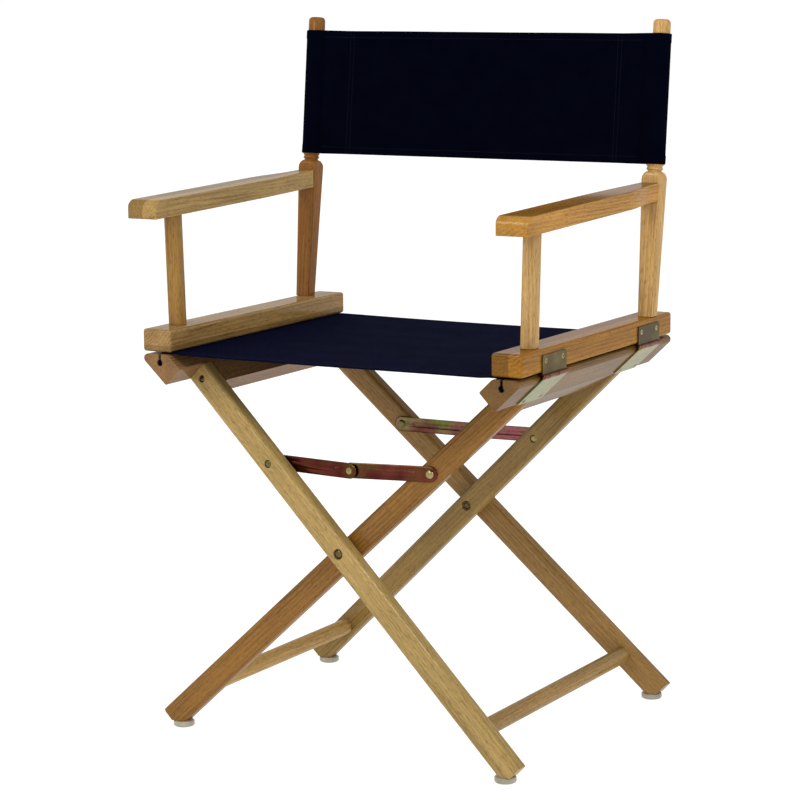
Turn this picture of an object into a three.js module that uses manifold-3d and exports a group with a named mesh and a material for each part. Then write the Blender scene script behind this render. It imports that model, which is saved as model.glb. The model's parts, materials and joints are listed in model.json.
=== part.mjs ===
// Folding director's chair: two crossed leg frames on pivot bolts, two arm frames on butt hinges,
// folding steel stays, and a canvas seat and back.
// Millimetres, +Z up, +X to the sitter's left as seen from the front, front towards -Y.
// The origin is on the floor, midway between the feet.
import * as THREE from "three";
import { mergeVertices } from "three/addons/utils/BufferGeometryUtils.js";
import Module from "manifold-3d";

const wasm = await Module();
wasm.setup();

// ---------------------------------------------------------------- driving dimensions
const GAP = 0.3; // clearance kept between touching pieces
const TOTAL_HEIGHT = 864;

// leg frames
const LEG_ANGLE = THREE.MathUtils.degToRad(43.6); // from the horizontal, seen from the front
const LEG_WIDTH = 30;
const LEG_THICKNESS = 21.6;
const LEG_EDGE = 3.5;
const LEG_ABOVE_PIVOT = 293;
const LEG_BELOW_PIVOT = 336.5;
const SPLAY = 0.0862; // legs spread front to back by this much per mm of their length
const PIVOT_HEIGHT = 242;
const OUTER_LEG_Y = 178; // leg centres at the pivot
const INNER_LEG_Y = 149;
const GLIDE_HEIGHT = 8;
const GLIDE_RADIUS = 13;
const STRETCHER_RADIUS = 10.5;
const STRETCHER_ALONG_LEG = -271;

// seat rails
const RAIL_FRONT = -214;
const RAIL_REAR = 208;
const RAIL_TOP = 470.5;
const RAIL_THICKNESS = 29;
const LIP_DEPTH = 30.5; // part of the rail that reaches down between the legs
const LIP_BEVEL = 5.5;
const GROOVE_X = 231;
const GROOVE_Z = 460;
const GROOVE_RADIUS = 4.2;
const GROOVE_SLOT = 3.6;

// pivot bolts, stays and screws
const BOLT_RADIUS = 4;
const BOLT_HEAD_RADIUS = 5.6;
const BOLT_RECESS = 4;
const SPACER_RADIUS = 8;
const SPACER_LENGTH = 5.6;
const STAY_PIN_ALONG_LEG = 142;
const STAY_MIDDLE_HEIGHT = 337.9;
const STAY_WIDTH = 19;
const STAY_SHEET = 1.4;
const STAY_STANDOFF = 1.0; // from the leg's face to the link
const STAY_RIB = 0.6;
const STAY_PIN_RADIUS = 2.8;
const SCREW_BELOW_LEG_TOP = 13;

// arm frames
const ARM_RAIL = { x0: 216.5, x1: 256.3, y0: -212, y1: 204, z0: 472.9, z1: 500.2 };
const ARM_REST = { inner: 226.8, outer: 268.3, y0: -221, z0: 634, z1: 656 };
const REST_SLOPE = 0.0235; // the rests rise this much per mm towards the rear
const REST_LEVEL_Y = -215; // where they are at the heights given
const FRONT_POST_Y = -160;
const FRONT_POST_SIDE = 19;
const BACK_POST_X = 246;
const BACK_POST_Y = 153.2; // centre at the arm rail's top
const BACK_LEAN = Math.atan(0.11);
const BACK_POST_SQUARE = 178;
const DOWEL_RADIUS = 10.75;

// hinges between arm rail and seat rail
const HINGE = { x: 259.3, z: 468.4, width: 62, centre: 132, knuckle: 2.7, sheet: 1.4, pin: 1.2 };
const HINGE_ARM_LEAF_TOP = 493.3;
const HINGE_RAIL_LEAF_END = 2; // how far the rail leaf stops short of the rail's lower corner

// canvas
const SEAT = { y0: -209, y1: 203, sheet: 1.2 };
const HEM_RADIUS = 3.7;
const SEAT_DOWEL_RADIUS = 2.4;
const BACK = { z0: 686, z1: 845, sheet: 2.0, seam: 193, sleeve: 12.4 };

// ---------------------------------------------------------------- materials
const wood = new THREE.MeshStandardMaterial({ color: 0xc49a5c, roughness: 0.38, metalness: 0 });
const steel = new THREE.MeshStandardMaterial({ color: 0x8f7f52, roughness: 0.35, metalness: 1 });
const canvas = new THREE.MeshStandardMaterial({ color: 0x10122a, roughness: 0.95, metalness: 0 });
const plastic = new THREE.MeshStandardMaterial({ color: 0xc9cabb, roughness: 0.45, metalness: 0 });

// ---------------------------------------------------------------- solids
function solid(geometry) {
  const bare = geometry.index ? geometry.toNonIndexed() : geometry.clone();
  bare.deleteAttribute("normal");
  bare.deleteAttribute("uv");
  const merged = mergeVertices(bare, 1e-4);
  const vertProperties = merged.attributes.position.array;
  const triVerts = new Uint32Array(merged.index.array);
  return new wasm.Manifold(new wasm.Mesh({ numProp: 3, vertProperties, triVerts }));
}

function surface(manifold) {
  const mesh = manifold.getMesh();
  const geometry = new THREE.BufferGeometry();
  geometry.setAttribute("position", new THREE.BufferAttribute(mesh.vertProperties, 3));
  geometry.setIndex(new THREE.BufferAttribute(mesh.triVerts, 1));
  const flat = geometry.toNonIndexed();
  flat.computeVertexNormals();
  return flat;
}

// A closed outline from corners [x, y, radius], counter-clockwise; a radius rounds that corner.
function outline(corners) {
  const shape = new THREE.Shape();
  corners.forEach(([x, y, radius = 0], i) => {
    const corner = new THREE.Vector2(x, y);
    const before = new THREE.Vector2(...corners.at(i - 1).slice(0, 2)).sub(corner).normalize();
    const after = new THREE.Vector2(...corners[(i + 1) % corners.length].slice(0, 2)).sub(corner).normalize();
    const half = Math.acos(THREE.MathUtils.clamp(before.dot(after), -1, 1)) / 2;
    const start = before.clone().multiplyScalar(radius / Math.tan(half)).add(corner);
    if (i === 0) shape.moveTo(start.x, start.y);
    else shape.lineTo(start.x, start.y);
    if (radius === 0) return;
    const middle = before.clone().add(after).normalize().multiplyScalar(radius / Math.sin(half)).add(corner);
    const end = after.clone().multiplyScalar(radius / Math.tan(half)).add(corner);
    const from = Math.atan2(start.y - middle.y, start.x - middle.x);
    const to = Math.atan2(end.y - middle.y, end.x - middle.x);
    shape.absarc(middle.x, middle.y, radius, from, to, false);
  });
  return shape;
}

function rectangle(x0, y0, x1, y1, radius = 0) {
  return outline([[x0, y0, radius], [x1, y0, radius], [x1, y1, radius], [x0, y1, radius]]);
}

function extrude(shape, length, curveSegments = 4) {
  return new THREE.ExtrudeGeometry(shape, { depth: length, bevelEnabled: false, curveSegments });
}

// An (x, z) outline drawn out along Y, a (y, z) outline along X, and an (x, y) outline along Z.
function alongY(shape, y0, y1, segments) {
  return extrude(shape, y1 - y0, segments).rotateX(Math.PI / 2).translate(0, y1, 0);
}

function alongX(shape, x0, x1, segments) {
  const turn = new THREE.Matrix4().makeBasis(
    new THREE.Vector3(0, 1, 0), new THREE.Vector3(0, 0, 1), new THREE.Vector3(1, 0, 0));
  return extrude(shape, x1 - x0, segments).applyMatrix4(turn).translate(x0, 0, 0);
}

function alongZ(shape, z0, z1, segments) {
  return extrude(shape, z1 - z0, segments).translate(0, 0, z0);
}

// A turned piece about +Y from [radius, y] points, ordered by rising y, closed on the axis.
function turned(profile, x = 0, z = 0, segments = 20) {
  const points = profile.map(([radius, y]) => new THREE.Vector2(radius, y));
  return new THREE.LatheGeometry(points, segments).translate(x, 0, z);
}

function rodY(radius, y0, y1, x, z, segments = 20) {
  return turned([[0, y0], [radius, y0], [radius, y1], [0, y1]], x, z, segments);
}

function rodZ(radius, z0, z1, x = 0, y = 0, segments = 20) {
  return turned([[0, z0], [radius, z0], [radius, z1], [0, z1]], 0, 0, segments)
    .rotateX(Math.PI / 2).translate(x, y, 0);
}

// ---------------------------------------------------------------- leg geometry
// Everything below is drawn for the inner frame's front: its legs rise towards +X, its front is at -Y.
// The outer frame is the same thing mirrored in X, and the rear is the front mirrored in Y.
const ALONG = new THREE.Vector2(Math.cos(LEG_ANGLE), Math.sin(LEG_ANGLE));
const ACROSS = new THREE.Vector2(-Math.sin(LEG_ANGLE), Math.cos(LEG_ANGLE));

// The (x, z) point at a distance along the leg from the pivot, and across it from its centre line.
function onLeg(along, across) {
  return [
    ALONG.x * along + ACROSS.x * across,
    PIVOT_HEIGHT + ALONG.y * along + ACROSS.y * across,
  ];
}

// Leg frame: local x across the leg, local y out of its front face, local z up along the leg.
function legMatrix(legY) {
  const up = new THREE.Vector3(ALONG.x, SPLAY, ALONG.y).normalize();
  const across = new THREE.Vector3(ACROSS.x, 0, ACROSS.y);
  const out = new THREE.Vector3().crossVectors(up, across);
  return new THREE.Matrix4().makeBasis(across, out, up).setPosition(0, -legY, PIVOT_HEIGHT);
}

const LEG_STRETCH = Math.hypot(1, SPLAY); // local length for each mm along the leg seen from the front

function legBlock(legY, grow) {
  const half = LEG_THICKNESS / 2 + grow;
  const across = LEG_WIDTH / 2 + grow;
  const section = rectangle(-across, -half, across, half, grow ? 0 : LEG_EDGE);
  const reach = (LEG_BELOW_PIVOT + 20) * LEG_STRETCH;
  return solid(alongZ(section, -reach, reach, 2).applyMatrix4(legMatrix(legY)));
}

// The leg seen from the front: square at the top, square at the foot with a flat for the glide.
function legEnvelope() {
  const wide = LEG_WIDTH;
  const top = LEG_ABOVE_PIVOT - GAP;
  const footAcross = (GLIDE_HEIGHT - onLeg(-LEG_BELOW_PIVOT, 0)[1]) / ACROSS.y;
  const lowAlong = (GLIDE_HEIGHT - PIVOT_HEIGHT + ACROSS.y * wide) / ALONG.y;
  const corners = [
    onLeg(top, -wide), onLeg(top, wide), onLeg(-LEG_BELOW_PIVOT, wide),
    onLeg(-LEG_BELOW_PIVOT, footAcross), onLeg(lowAlong, -wide),
  ];
  return solid(alongY(outline(corners), -260, 0));
}

// A cylinder square to the leg's face, from y0 to y1 in the leg frame.
function legRod(legY, along, radius, y0, y1, segments = 12) {
  return solid(rodY(radius, y0, y1, 0, 0, segments)
    .translate(0, 0, along * LEG_STRETCH).applyMatrix4(legMatrix(legY)));
}

// side is +1 where the recessed bolt heads are on the leg's outward face, -1 where on its inward face
function leg(legY, side) {
  const face = LEG_THICKNESS / 2;
  const recess = (along, radius, depth) =>
    legRod(legY, along, radius, Math.min(side * (face - depth), side * (face + 2)),
      Math.max(side * (face - depth), side * (face + 2)));
  const screw = LEG_ABOVE_PIVOT - SCREW_BELOW_LEG_TOP;
  const pivotFace = -legY - side * face;
  const pivotRecess = rodY(BOLT_HEAD_RADIUS + 1, Math.min(pivotFace, pivotFace + side * BOLT_RECESS) - 1.5,
    Math.max(pivotFace, pivotFace + side * BOLT_RECESS) + 1.5, 0, PIVOT_HEIGHT, 14);
  const pivotHole = rodY(BOLT_RADIUS + GAP, -legY - 20, -legY + 20, 0, PIVOT_HEIGHT, 12);
  return legBlock(legY, 0)
    .intersect(legEnvelope())
    .subtract(solid(pivotHole))
    .subtract(solid(pivotRecess))
    .subtract(legRod(legY, STAY_PIN_ALONG_LEG, STAY_PIN_RADIUS + GAP, -20, 20))
    .subtract(recess(STAY_PIN_ALONG_LEG, 5, 3))
    .subtract(legRod(legY, screw, 2.5, -20, 20))
    .subtract(legRod(legY, screw, 4.6, face - 3, face + 2));
}

// Wood screw through the top of a leg into the end of the rail's lip.
function legScrew(legY) {
  const face = LEG_THICKNESS / 2;
  const profile = [[0, -28], [2.1, -24], [2.1, face - 2.6], [4.2, face - 2.3], [3.2, face - 0.7], [0, face - 0.4]];
  return turned(profile, 0, 0, 12)
    .translate(0, 0, (LEG_ABOVE_PIVOT - SCREW_BELOW_LEG_TOP) * LEG_STRETCH).applyMatrix4(legMatrix(legY));
}

function glide() {
  const [x] = onLeg(-LEG_BELOW_PIVOT, 0);
  const top = GLIDE_HEIGHT - GAP;
  const profile = [
    [0, 0], [9.5, 0], [11.8, 0.9], [GLIDE_RADIUS, 3], [GLIDE_RADIUS, 5.2], [12, top], [0, top],
  ];
  return { geometry: turned(profile, 0, 0, 16).rotateX(Math.PI / 2), x: x + 12.5 };
}

// ---------------------------------------------------------------- seat rail
function lengthToHeight(height, across) {
  return (height - PIVOT_HEIGHT - ACROSS.y * across) / ALONG.y;
}

function seatRail(legY) {
  const outer = -LEG_WIDTH / 2;
  const inner = outer + RAIL_THICKNESS;
  const bottom = LEG_ABOVE_PIVOT;
  const section = outline([
    [...onLeg(bottom, outer), 2],
    [...onLeg(lengthToHeight(RAIL_TOP, outer), outer), 5.5],
    [...onLeg(lengthToHeight(RAIL_TOP, inner), inner), 5],
    [...onLeg(bottom, inner), 2],
  ]);
  const lip = outline([
    onLeg(bottom + 8, outer + 1), onLeg(bottom + 8, inner), onLeg(bottom - LIP_DEPTH, inner),
    onLeg(bottom - LIP_DEPTH, outer + LIP_BEVEL), onLeg(bottom, outer + 0.6),
  ]);
  const screwAlong = LEG_ABOVE_PIVOT - SCREW_BELOW_LEG_TOP;
  const front = legBlock(legY, GAP);
  const rear = front.scale([1, -1, 1]);
  const screwHole = legRod(legY, screwAlong, 2.4, -32, 0);
  const reach = legY - SPLAY * bottom;
  const lipBody = solid(alongY(lip, -reach, reach)).subtract(front).subtract(rear)
    .subtract(screwHole).subtract(screwHole.scale([1, -1, 1]));
  const main = solid(alongY(section, RAIL_FRONT, RAIL_REAR, 5));
  const lipMiddle = lipBody.intersect(solid(alongY(rectangle(0, 0, 400, 600), -reach + 6, reach - 6)));
  const slot = rectangle(GROOVE_X - GROOVE_SLOT / 2, GROOVE_Z, GROOVE_X + GROOVE_SLOT / 2, RAIL_TOP + 5);
  return main.add(lipMiddle)
    .subtract(solid(alongY(slot, RAIL_FRONT - 5, RAIL_REAR + 5)))
    .subtract(solid(rodY(GROOVE_RADIUS, RAIL_FRONT - 5, RAIL_REAR + 5, GROOVE_X, GROOVE_Z, 14)));
}

function stretcher(legY) {
  const [x, z] = onLeg(STRETCHER_ALONG_LEG, 0);
  const front = legBlock(legY, GAP);
  const reach = legY - SPLAY * STRETCHER_ALONG_LEG;
  return solid(rodY(STRETCHER_RADIUS, -reach, reach, x, z, 16))
    .subtract(front).subtract(front.scale([1, -1, 1]))
    .decompose().sort((a, b) => b.volume() - a.volume())[0];
}

// ---------------------------------------------------------------- pivot hardware
function pivotBolt() {
  const head = -OUTER_LEG_Y - LEG_THICKNESS / 2 + 0.7;
  const seat = head + BOLT_RECESS - 1;
  const end = -INNER_LEG_Y + LEG_THICKNESS / 2 - 0.8;
  const dome = [[0, head], [2.6, head + 0.35], [4.6, head + 1.2], [BOLT_HEAD_RADIUS, seat - 0.4]];
  return turned([...dome, [BOLT_HEAD_RADIUS, seat], [BOLT_RADIUS, seat], [BOLT_RADIUS, end], [0, end]],
    0, PIVOT_HEIGHT, 14);
}

function ring(inside, outside, y0, y1) {
  return solid(rodY(outside, y0, y1, 0, PIVOT_HEIGHT, 16))
    .subtract(solid(rodY(inside, y0 - 1, y1 + 1, 0, PIVOT_HEIGHT, 14)));
}

function pivotNut() {
  const face = -INNER_LEG_Y + LEG_THICKNESS / 2;
  return ring(BOLT_RADIUS + GAP, BOLT_HEAD_RADIUS + 0.6, face - BOLT_RECESS + 0.5, face - 0.5);
}

function pivotSpacer() {
  const middle = -(OUTER_LEG_Y + INNER_LEG_Y) / 2;
  return ring(BOLT_RADIUS + GAP, SPACER_RADIUS, middle - SPACER_LENGTH / 2, middle + SPACER_LENGTH / 2);
}

// ---------------------------------------------------------------- folding stays
// side is the direction, in the leg frame, from the leg to its link: -1 for the outer leg, +1 for the inner
const STAY_NEAR = LEG_THICKNESS / 2 + STAY_STANDOFF;

// Link frame: origin at the pin in the link's middle plane, local x along the link, local y as the leg's.
function linkMatrix(legY, side) {
  const leg = legMatrix(legY);
  const pin = new THREE.Vector3(0, side * (STAY_NEAR + STAY_SHEET / 2), STAY_PIN_ALONG_LEG * LEG_STRETCH)
    .applyMatrix4(leg);
  const out = new THREE.Vector3().setFromMatrixColumn(leg, 1);
  const run = new THREE.Vector3(-pin.x, 0, STAY_MIDDLE_HEIGHT - pin.z);
  run.y = -(out.x * run.x + out.z * run.z) / out.y;
  const length = run.length();
  run.normalize();
  const matrix = new THREE.Matrix4().makeBasis(run, out, new THREE.Vector3().crossVectors(run, out));
  return { matrix: matrix.setPosition(pin), length };
}

function stayLink(legY, side) {
  const { matrix, length } = linkMatrix(legY, side);
  const end = STAY_WIDTH / 2;
  const half = STAY_SHEET / 2;
  const bar = rectangle(-end, -end, length + end, end, end - 0.01);
  const ribLength = length * 0.56;
  const ribStart = (length - ribLength) / 2;
  const ridge = rectangle(ribStart, -4, ribStart + ribLength, 4, 3.99);
  const groove = rectangle(ribStart + 1.4, -2.6, ribStart + ribLength - 1.4, 2.6, 2.59);
  const toLeg = -side;
  const layer = (shape, from, to) => solid(alongY(shape, Math.min(from, to), Math.max(from, to), 3));
  const link = layer(bar, -half, half)
    .add(layer(ridge, 0, toLeg * (half + STAY_RIB)))
    .subtract(layer(groove, -toLeg * (half + 1), toLeg * (half - 0.2)))
    .subtract(solid(rodY(STAY_PIN_RADIUS + GAP, -5, 5, 0, 0, 12)))
    .subtract(solid(rodY(STAY_PIN_RADIUS + GAP, -5, 5, length, 0, 12)));
  return link.transform(matrix.elements);
}

// Pin through a leg and the end of its link, with a recessed head, a shoulder and a domed rivet end.
function stayPin(legY, side) {
  const face = LEG_THICKNESS / 2;
  const r = STAY_PIN_RADIUS;
  const far = STAY_NEAR + STAY_SHEET + GAP;
  const profile = [
    [0, -face + 0.3], [2.4, -face + 0.6], [4.5, -face + 1.6], [4.5, -face + 2.6], [r, -face + 2.6],
    [r, face + GAP], [5, face + GAP], [5, STAY_NEAR - GAP], [r, STAY_NEAR - GAP],
    [r, far], [5.2, far], [4.3, far + 1.1], [2.2, far + 1.7], [0, far + 1.9],
  ];
  const pin = solid(turned(profile, 0, 0, 12));
  const facing = side > 0 ? pin : pin.scale([1, -1, 1]);
  return facing.translate([0, 0, STAY_PIN_ALONG_LEG * LEG_STRETCH]).transform(legMatrix(legY).elements);
}

// Half of the rivet that joins the two links; the stay's loop is open between the halves.
function stayRivet(legY, side) {
  const { matrix, length } = linkMatrix(legY, side);
  const half = STAY_SHEET / 2;
  const profile = [
    [0, -half], [STAY_PIN_RADIUS, -half], [STAY_PIN_RADIUS, half + GAP / 2], [4.6, half + GAP / 2],
    [3.6, half + 0.8], [0, half + 1.15],
  ];
  const rivet = solid(turned(profile, 0, 0, 12));
  const facing = side > 0 ? rivet : rivet.scale([1, -1, 1]);
  return facing.translate([length, 0, 0]).transform(matrix.elements);
}

// ---------------------------------------------------------------- arm frames
// Drawn for the right side, +X; the left side is mirrored.
function upright(x, y, z, lean, tilt = 0) {
  return new THREE.Matrix4().makeTranslation(x, y, z)
    .multiply(new THREE.Matrix4().makeRotationX(-lean))
    .multiply(new THREE.Matrix4().makeRotationY(tilt));
}

const FRONT_POST = upright(239.6, FRONT_POST_Y, ARM_RAIL.z1, 0, Math.atan(3.8 / 134));
const BACK_POST = upright(BACK_POST_X, BACK_POST_Y, ARM_RAIL.z1, BACK_LEAN);
const TENON = { radius: 6.5, length: 12 };

function postTenon(matrix, at, grow) {
  return solid(rodZ(TENON.radius + grow, at - TENON.length - grow, at + TENON.length + grow, 0, 0, 12)
    .applyMatrix4(matrix));
}

function restLift(y) {
  return REST_SLOPE * (y - REST_LEVEL_Y);
}

const FRONT_POST_HEIGHT = ARM_REST.z0 + restLift(FRONT_POST_Y) - ARM_RAIL.z1;

function frontPost() {
  const half = FRONT_POST_SIDE / 2;
  const height = FRONT_POST_HEIGHT;
  const section = rectangle(-half, -half, half, half, 5);
  const shaft = solid(alongZ(section, 2 * GAP, height - 2 * GAP, 3).applyMatrix4(FRONT_POST));
  return shaft.add(postTenon(FRONT_POST, 0, 0)).add(postTenon(FRONT_POST, height, 0));
}

// Seen from the front and from the side the square part widens upwards to rounded shoulders.
function backPostSquare(grow) {
  const low = 10 + grow;
  const high = 12.8 + grow;
  const view = outline([
    [-low, -5], [low, -5], [high, BACK_POST_SQUARE, 9], [-high, BACK_POST_SQUARE, 9],
  ]);
  return solid(alongY(view, -40, 40, 3)).intersect(solid(alongX(view, -40, 40, 3)))
    .transform(BACK_POST.elements)
    .subtract(solid(alongZ(rectangle(200, 100, 300, 200), 450, ARM_RAIL.z1 + GAP)));
}

function backPost() {
  const top = (TOTAL_HEIGHT - ARM_RAIL.z1) / Math.cos(BACK_LEAN) - 1.2;
  const shoulder = BACK_POST_SQUARE;
  const profile = [
    [0, shoulder - 12], [8.6, shoulder - 12], [8.6, shoulder + 1.6], [10.4, shoulder + 2.6],
    [10.4, shoulder + 4.4], [9.2, shoulder + 5.6], [DOWEL_RADIUS, shoulder + 7.6],
    [DOWEL_RADIUS, top - 4], [DOWEL_RADIUS - 1.2, top - 1.3], [DOWEL_RADIUS - 3.6, top], [0, top],
  ];
  const spindle = turned(profile, 0, 0, 20)
    .rotateX(Math.PI / 2).applyMatrix4(BACK_POST);
  return backPostSquare(0).add(solid(spindle)).add(postTenon(BACK_POST, 0, 0));
}

function armRail() {
  const { x0, x1, y0, y1, z0, z1 } = ARM_RAIL;
  return solid(alongY(rectangle(x0, z0, x1, z1, 3.5), y0, y1, 2))
    .intersect(solid(alongZ(rectangle(x0, y0, x1, y1, 4), z0 - 5, z1 + 5, 2)))
    .subtract(postTenon(FRONT_POST, 0, GAP))
    .subtract(postTenon(BACK_POST, 0, GAP));
}

// Seen from above the rest narrows behind the elbow to meet the back post; its nose is a quarter round.
function armRest() {
  const { inner, outer, y0, z0, z1 } = ARM_REST;
  const end = 170;
  const plan = new THREE.Shape();
  plan.moveTo(inner + 3, y0);
  plan.lineTo(outer - 3, y0);
  plan.absarc(outer - 3, y0 + 3, 3, -Math.PI / 2, 0, false);
  plan.lineTo(outer - 1, 50);
  plan.bezierCurveTo(outer - 1.5, 95, BACK_POST_X + 11.8, 100, BACK_POST_X + 11.8, 148);
  plan.lineTo(BACK_POST_X + 11.8, end);
  plan.lineTo(BACK_POST_X - 11.8, end);
  plan.lineTo(BACK_POST_X - 11.8, 120);
  plan.lineTo(inner, y0 + 3);
  plan.absarc(inner + 3, y0 + 3, 3, Math.PI, 1.5 * Math.PI, false);
  const side = outline([[y0, z0, 2], [end, z0], [end, z1], [y0, z1, 13.5]]);
  const front = new THREE.Matrix4().makeTranslation(0, 0, FRONT_POST_HEIGHT);
  const slope = new THREE.Matrix4().makeShear(0, 0, 0, REST_SLOPE, 0, 0).setPosition(0, 0, restLift(0));
  return solid(alongZ(plan, z0 - 1, z1 + 1, 5))
    .intersect(solid(alongX(side, inner - 5, outer + 5, 5)))
    .transform(slope.elements)
    .subtract(solid(rodZ(TENON.radius + GAP, -20, TENON.length + 2 * GAP, 0, 0, 12)
      .applyMatrix4(new THREE.Matrix4().multiplyMatrices(FRONT_POST, front))))
    .subtract(backPostSquare(GAP))
    .decompose().sort((a, b) => b.volume() - a.volume())[0];
}

// ---------------------------------------------------------------- hinges
// Five knuckles: the rail leaf has the first, third and fifth, the arm leaf the other two.
function knuckles(centre, which) {
  const pitch = HINGE.width / 5;
  const start = -centre - HINGE.width / 2;
  return which.map((i) => rodY(HINGE.knuckle, start + i * pitch + GAP / 2, start + (i + 1) * pitch - GAP / 2,
    HINGE.x, HINGE.z, 10)).map(solid);
}

function withKnuckles(plate, own, other) {
  const start = -HINGE.centre - HINGE.width / 2 - 5;
  const bore = rodY(HINGE.pin + GAP, start, start + HINGE.width + 10, HINGE.x, HINGE.z, 8);
  const pitch = HINGE.width / 5;
  let leaf = plate;
  for (const i of other) {
    const y0 = -HINGE.centre - HINGE.width / 2 + i * pitch - GAP / 2;
    leaf = leaf.subtract(solid(rodY(HINGE.knuckle + GAP, y0, y0 + pitch + GAP, HINGE.x, HINGE.z, 10)));
  }
  for (const knuckle of knuckles(HINGE.centre, own)) leaf = leaf.add(knuckle);
  return leaf.subtract(solid(bore));
}

function armLeaf() {
  const x = ARM_RAIL.x1 + GAP;
  const plate = alongX(rectangle(-HINGE.centre - HINGE.width / 2, HINGE.z, -HINGE.centre + HINGE.width / 2,
    HINGE_ARM_LEAF_TOP, 1), x, x + HINGE.sheet, 2);
  return withKnuckles(solid(plate), [1, 3], [0, 2, 4]);
}

function railLeaf() {
  const outer = -LEG_WIDTH / 2;
  const length = lengthToHeight(HINGE.z, outer);
  const near = outer - GAP;
  const plate = outline([
    onLeg(length, near), onLeg(LEG_ABOVE_PIVOT + HINGE_RAIL_LEAF_END, near),
    onLeg(LEG_ABOVE_PIVOT + HINGE_RAIL_LEAF_END, near - HINGE.sheet), onLeg(length, near - HINGE.sheet),
  ].reverse());
  const y0 = -HINGE.centre - HINGE.width / 2;
  return withKnuckles(solid(alongY(plate, y0, y0 + HINGE.width)), [0, 2, 4], [1, 3]);
}

function hingePin() {
  const half = HINGE.width / 2;
  const head = HINGE.knuckle - 0.3;
  const y = -HINGE.centre;
  return turned([
    [0, y - half - 1.6], [head - 0.8, y - half - 1.4], [head, y - half - 0.3], [HINGE.pin, y - half - 0.3],
    [HINGE.pin, y + half + 0.3], [head, y + half + 0.3], [head - 0.8, y + half + 1.4], [0, y + half + 1.6],
  ], HINGE.x, HINGE.z, 8);
}

// ---------------------------------------------------------------- canvas
function seatDowel() {
  return rodY(SEAT_DOWEL_RADIUS, SEAT.y0 + 2, SEAT.y1 - 2, GROOVE_X, GROOVE_Z, 12);
}

// Panel over the rails, with a hem through each groove round its dowel.
function seatCanvas() {
  const top = RAIL_TOP + 0.4;
  const web = 1;
  let cloth = solid(alongY(rectangle(-GROOVE_X - web, top, GROOVE_X + web, top + SEAT.sheet), SEAT.y0, SEAT.y1));
  for (const x of [-GROOVE_X, GROOVE_X]) {
    cloth = cloth
      .add(solid(alongY(rectangle(x - web, GROOVE_Z + 1, x + web, top + SEAT.sheet), SEAT.y0, SEAT.y1)))
      .add(solid(rodY(HEM_RADIUS, SEAT.y0, SEAT.y1, x, GROOVE_Z, 14)))
      .subtract(solid(rodY(SEAT_DOWEL_RADIUS + GAP, SEAT.y0 - 5, SEAT.y1 + 5, x, GROOVE_Z, 12)));
  }
  return cloth;
}

// Panel with a sleeve round each back post, drawn in the plane of the leaning posts.
function backCanvas() {
  const { z0, z1, sheet, seam, sleeve } = BACK;
  const scale = 1 / Math.cos(BACK_LEAN);
  const from = (z0 - ARM_RAIL.z1) * scale;
  const to = (z1 - ARM_RAIL.z1) * scale;
  const half = sheet / 2;
  const plan = new THREE.Shape();
  const turn = 0.21;
  plan.moveTo(-seam, -half);
  plan.lineTo(seam, -half);
  plan.absarc(BACK_POST_X, 0, sleeve, -Math.PI / 2 - turn, Math.PI / 2 + turn, false);
  plan.lineTo(seam, half);
  plan.lineTo(-seam, half);
  plan.absarc(-BACK_POST_X, 0, sleeve, Math.PI / 2 - turn, 1.5 * Math.PI + turn, false);
  const place = upright(0, BACK_POST_Y, ARM_RAIL.z1, BACK_LEAN);
  let cloth = solid(alongZ(plan, from, to, 8));
  for (const x of [-BACK_POST_X, BACK_POST_X]) {
    cloth = cloth.subtract(solid(rodZ(DOWEL_RADIUS + GAP + 0.1, from - 5, to + 5, x, 0, 20)));
  }
  return cloth.transform(place.elements);
}

// ---------------------------------------------------------------- assembly
const chair = new THREE.Group();
chair.name = "director_chair";

function group(parent, x, y) {
  const child = new THREE.Group();
  child.scale.set(x, y, 1);
  parent.add(child);
  return child;
}

function place(parent, name, shape, material) {
  const geometry = shape.isBufferGeometry ? shape : surface(shape);
  const mesh = new THREE.Mesh(geometry, material);
  mesh.name = name;
  parent.add(mesh);
  return mesh;
}

const ENDS = [["front", 1], ["rear", -1]];
const SIDES = [["left", -1], ["right", 1]];

// The outer frame carries the left seat rail, the inner frame the right one.
const FRAMES = [
  { name: "outer", mirror: -1, legY: OUTER_LEG_Y, heads: 1, link: -1, rail: "left", foot: "right" },
  { name: "inner", mirror: 1, legY: INNER_LEG_Y, heads: -1, link: 1, rail: "right", foot: "left" },
];

for (const frame of FRAMES) {
  const half = group(chair, frame.mirror, 1);
  place(half, `seat_rail_${frame.rail}`, seatRail(frame.legY), wood);
  place(half, `foot_stretcher_${frame.foot}`, stretcher(frame.legY), wood);
  place(half, `seat_dowel_${frame.rail}`, seatDowel(), wood);
  for (const [end, flip] of ENDS) {
    const quarter = group(half, 1, flip);
    place(quarter, `leg_${frame.name}_${end}`, leg(frame.legY, frame.heads), wood);
    place(quarter, `leg_screw_${frame.name}_${end}`, legScrew(frame.legY), steel);
    const foot = glide();
    const footY = frame.legY + SPLAY * LEG_BELOW_PIVOT - 0.6;
    place(quarter, `foot_glide_${frame.name}_${end}`, foot.geometry, plastic).position.set(foot.x, -footY, 0);
    place(quarter, `stay_link_${frame.name}_${end}`, stayLink(frame.legY, frame.link), steel);
    place(quarter, `stay_pin_${frame.name}_${end}`, stayPin(frame.legY, frame.link), steel);
    place(quarter, `stay_rivet_${frame.name}_${end}`, stayRivet(frame.legY, frame.link), steel);
  }
}

for (const [end, flip] of ENDS) {
  const half = group(chair, 1, flip);
  place(half, `pivot_bolt_${end}`, pivotBolt(), steel);
  place(half, `pivot_nut_${end}`, pivotNut(), steel);
  place(half, `pivot_spacer_${end}`, pivotSpacer(), steel);
}

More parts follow.
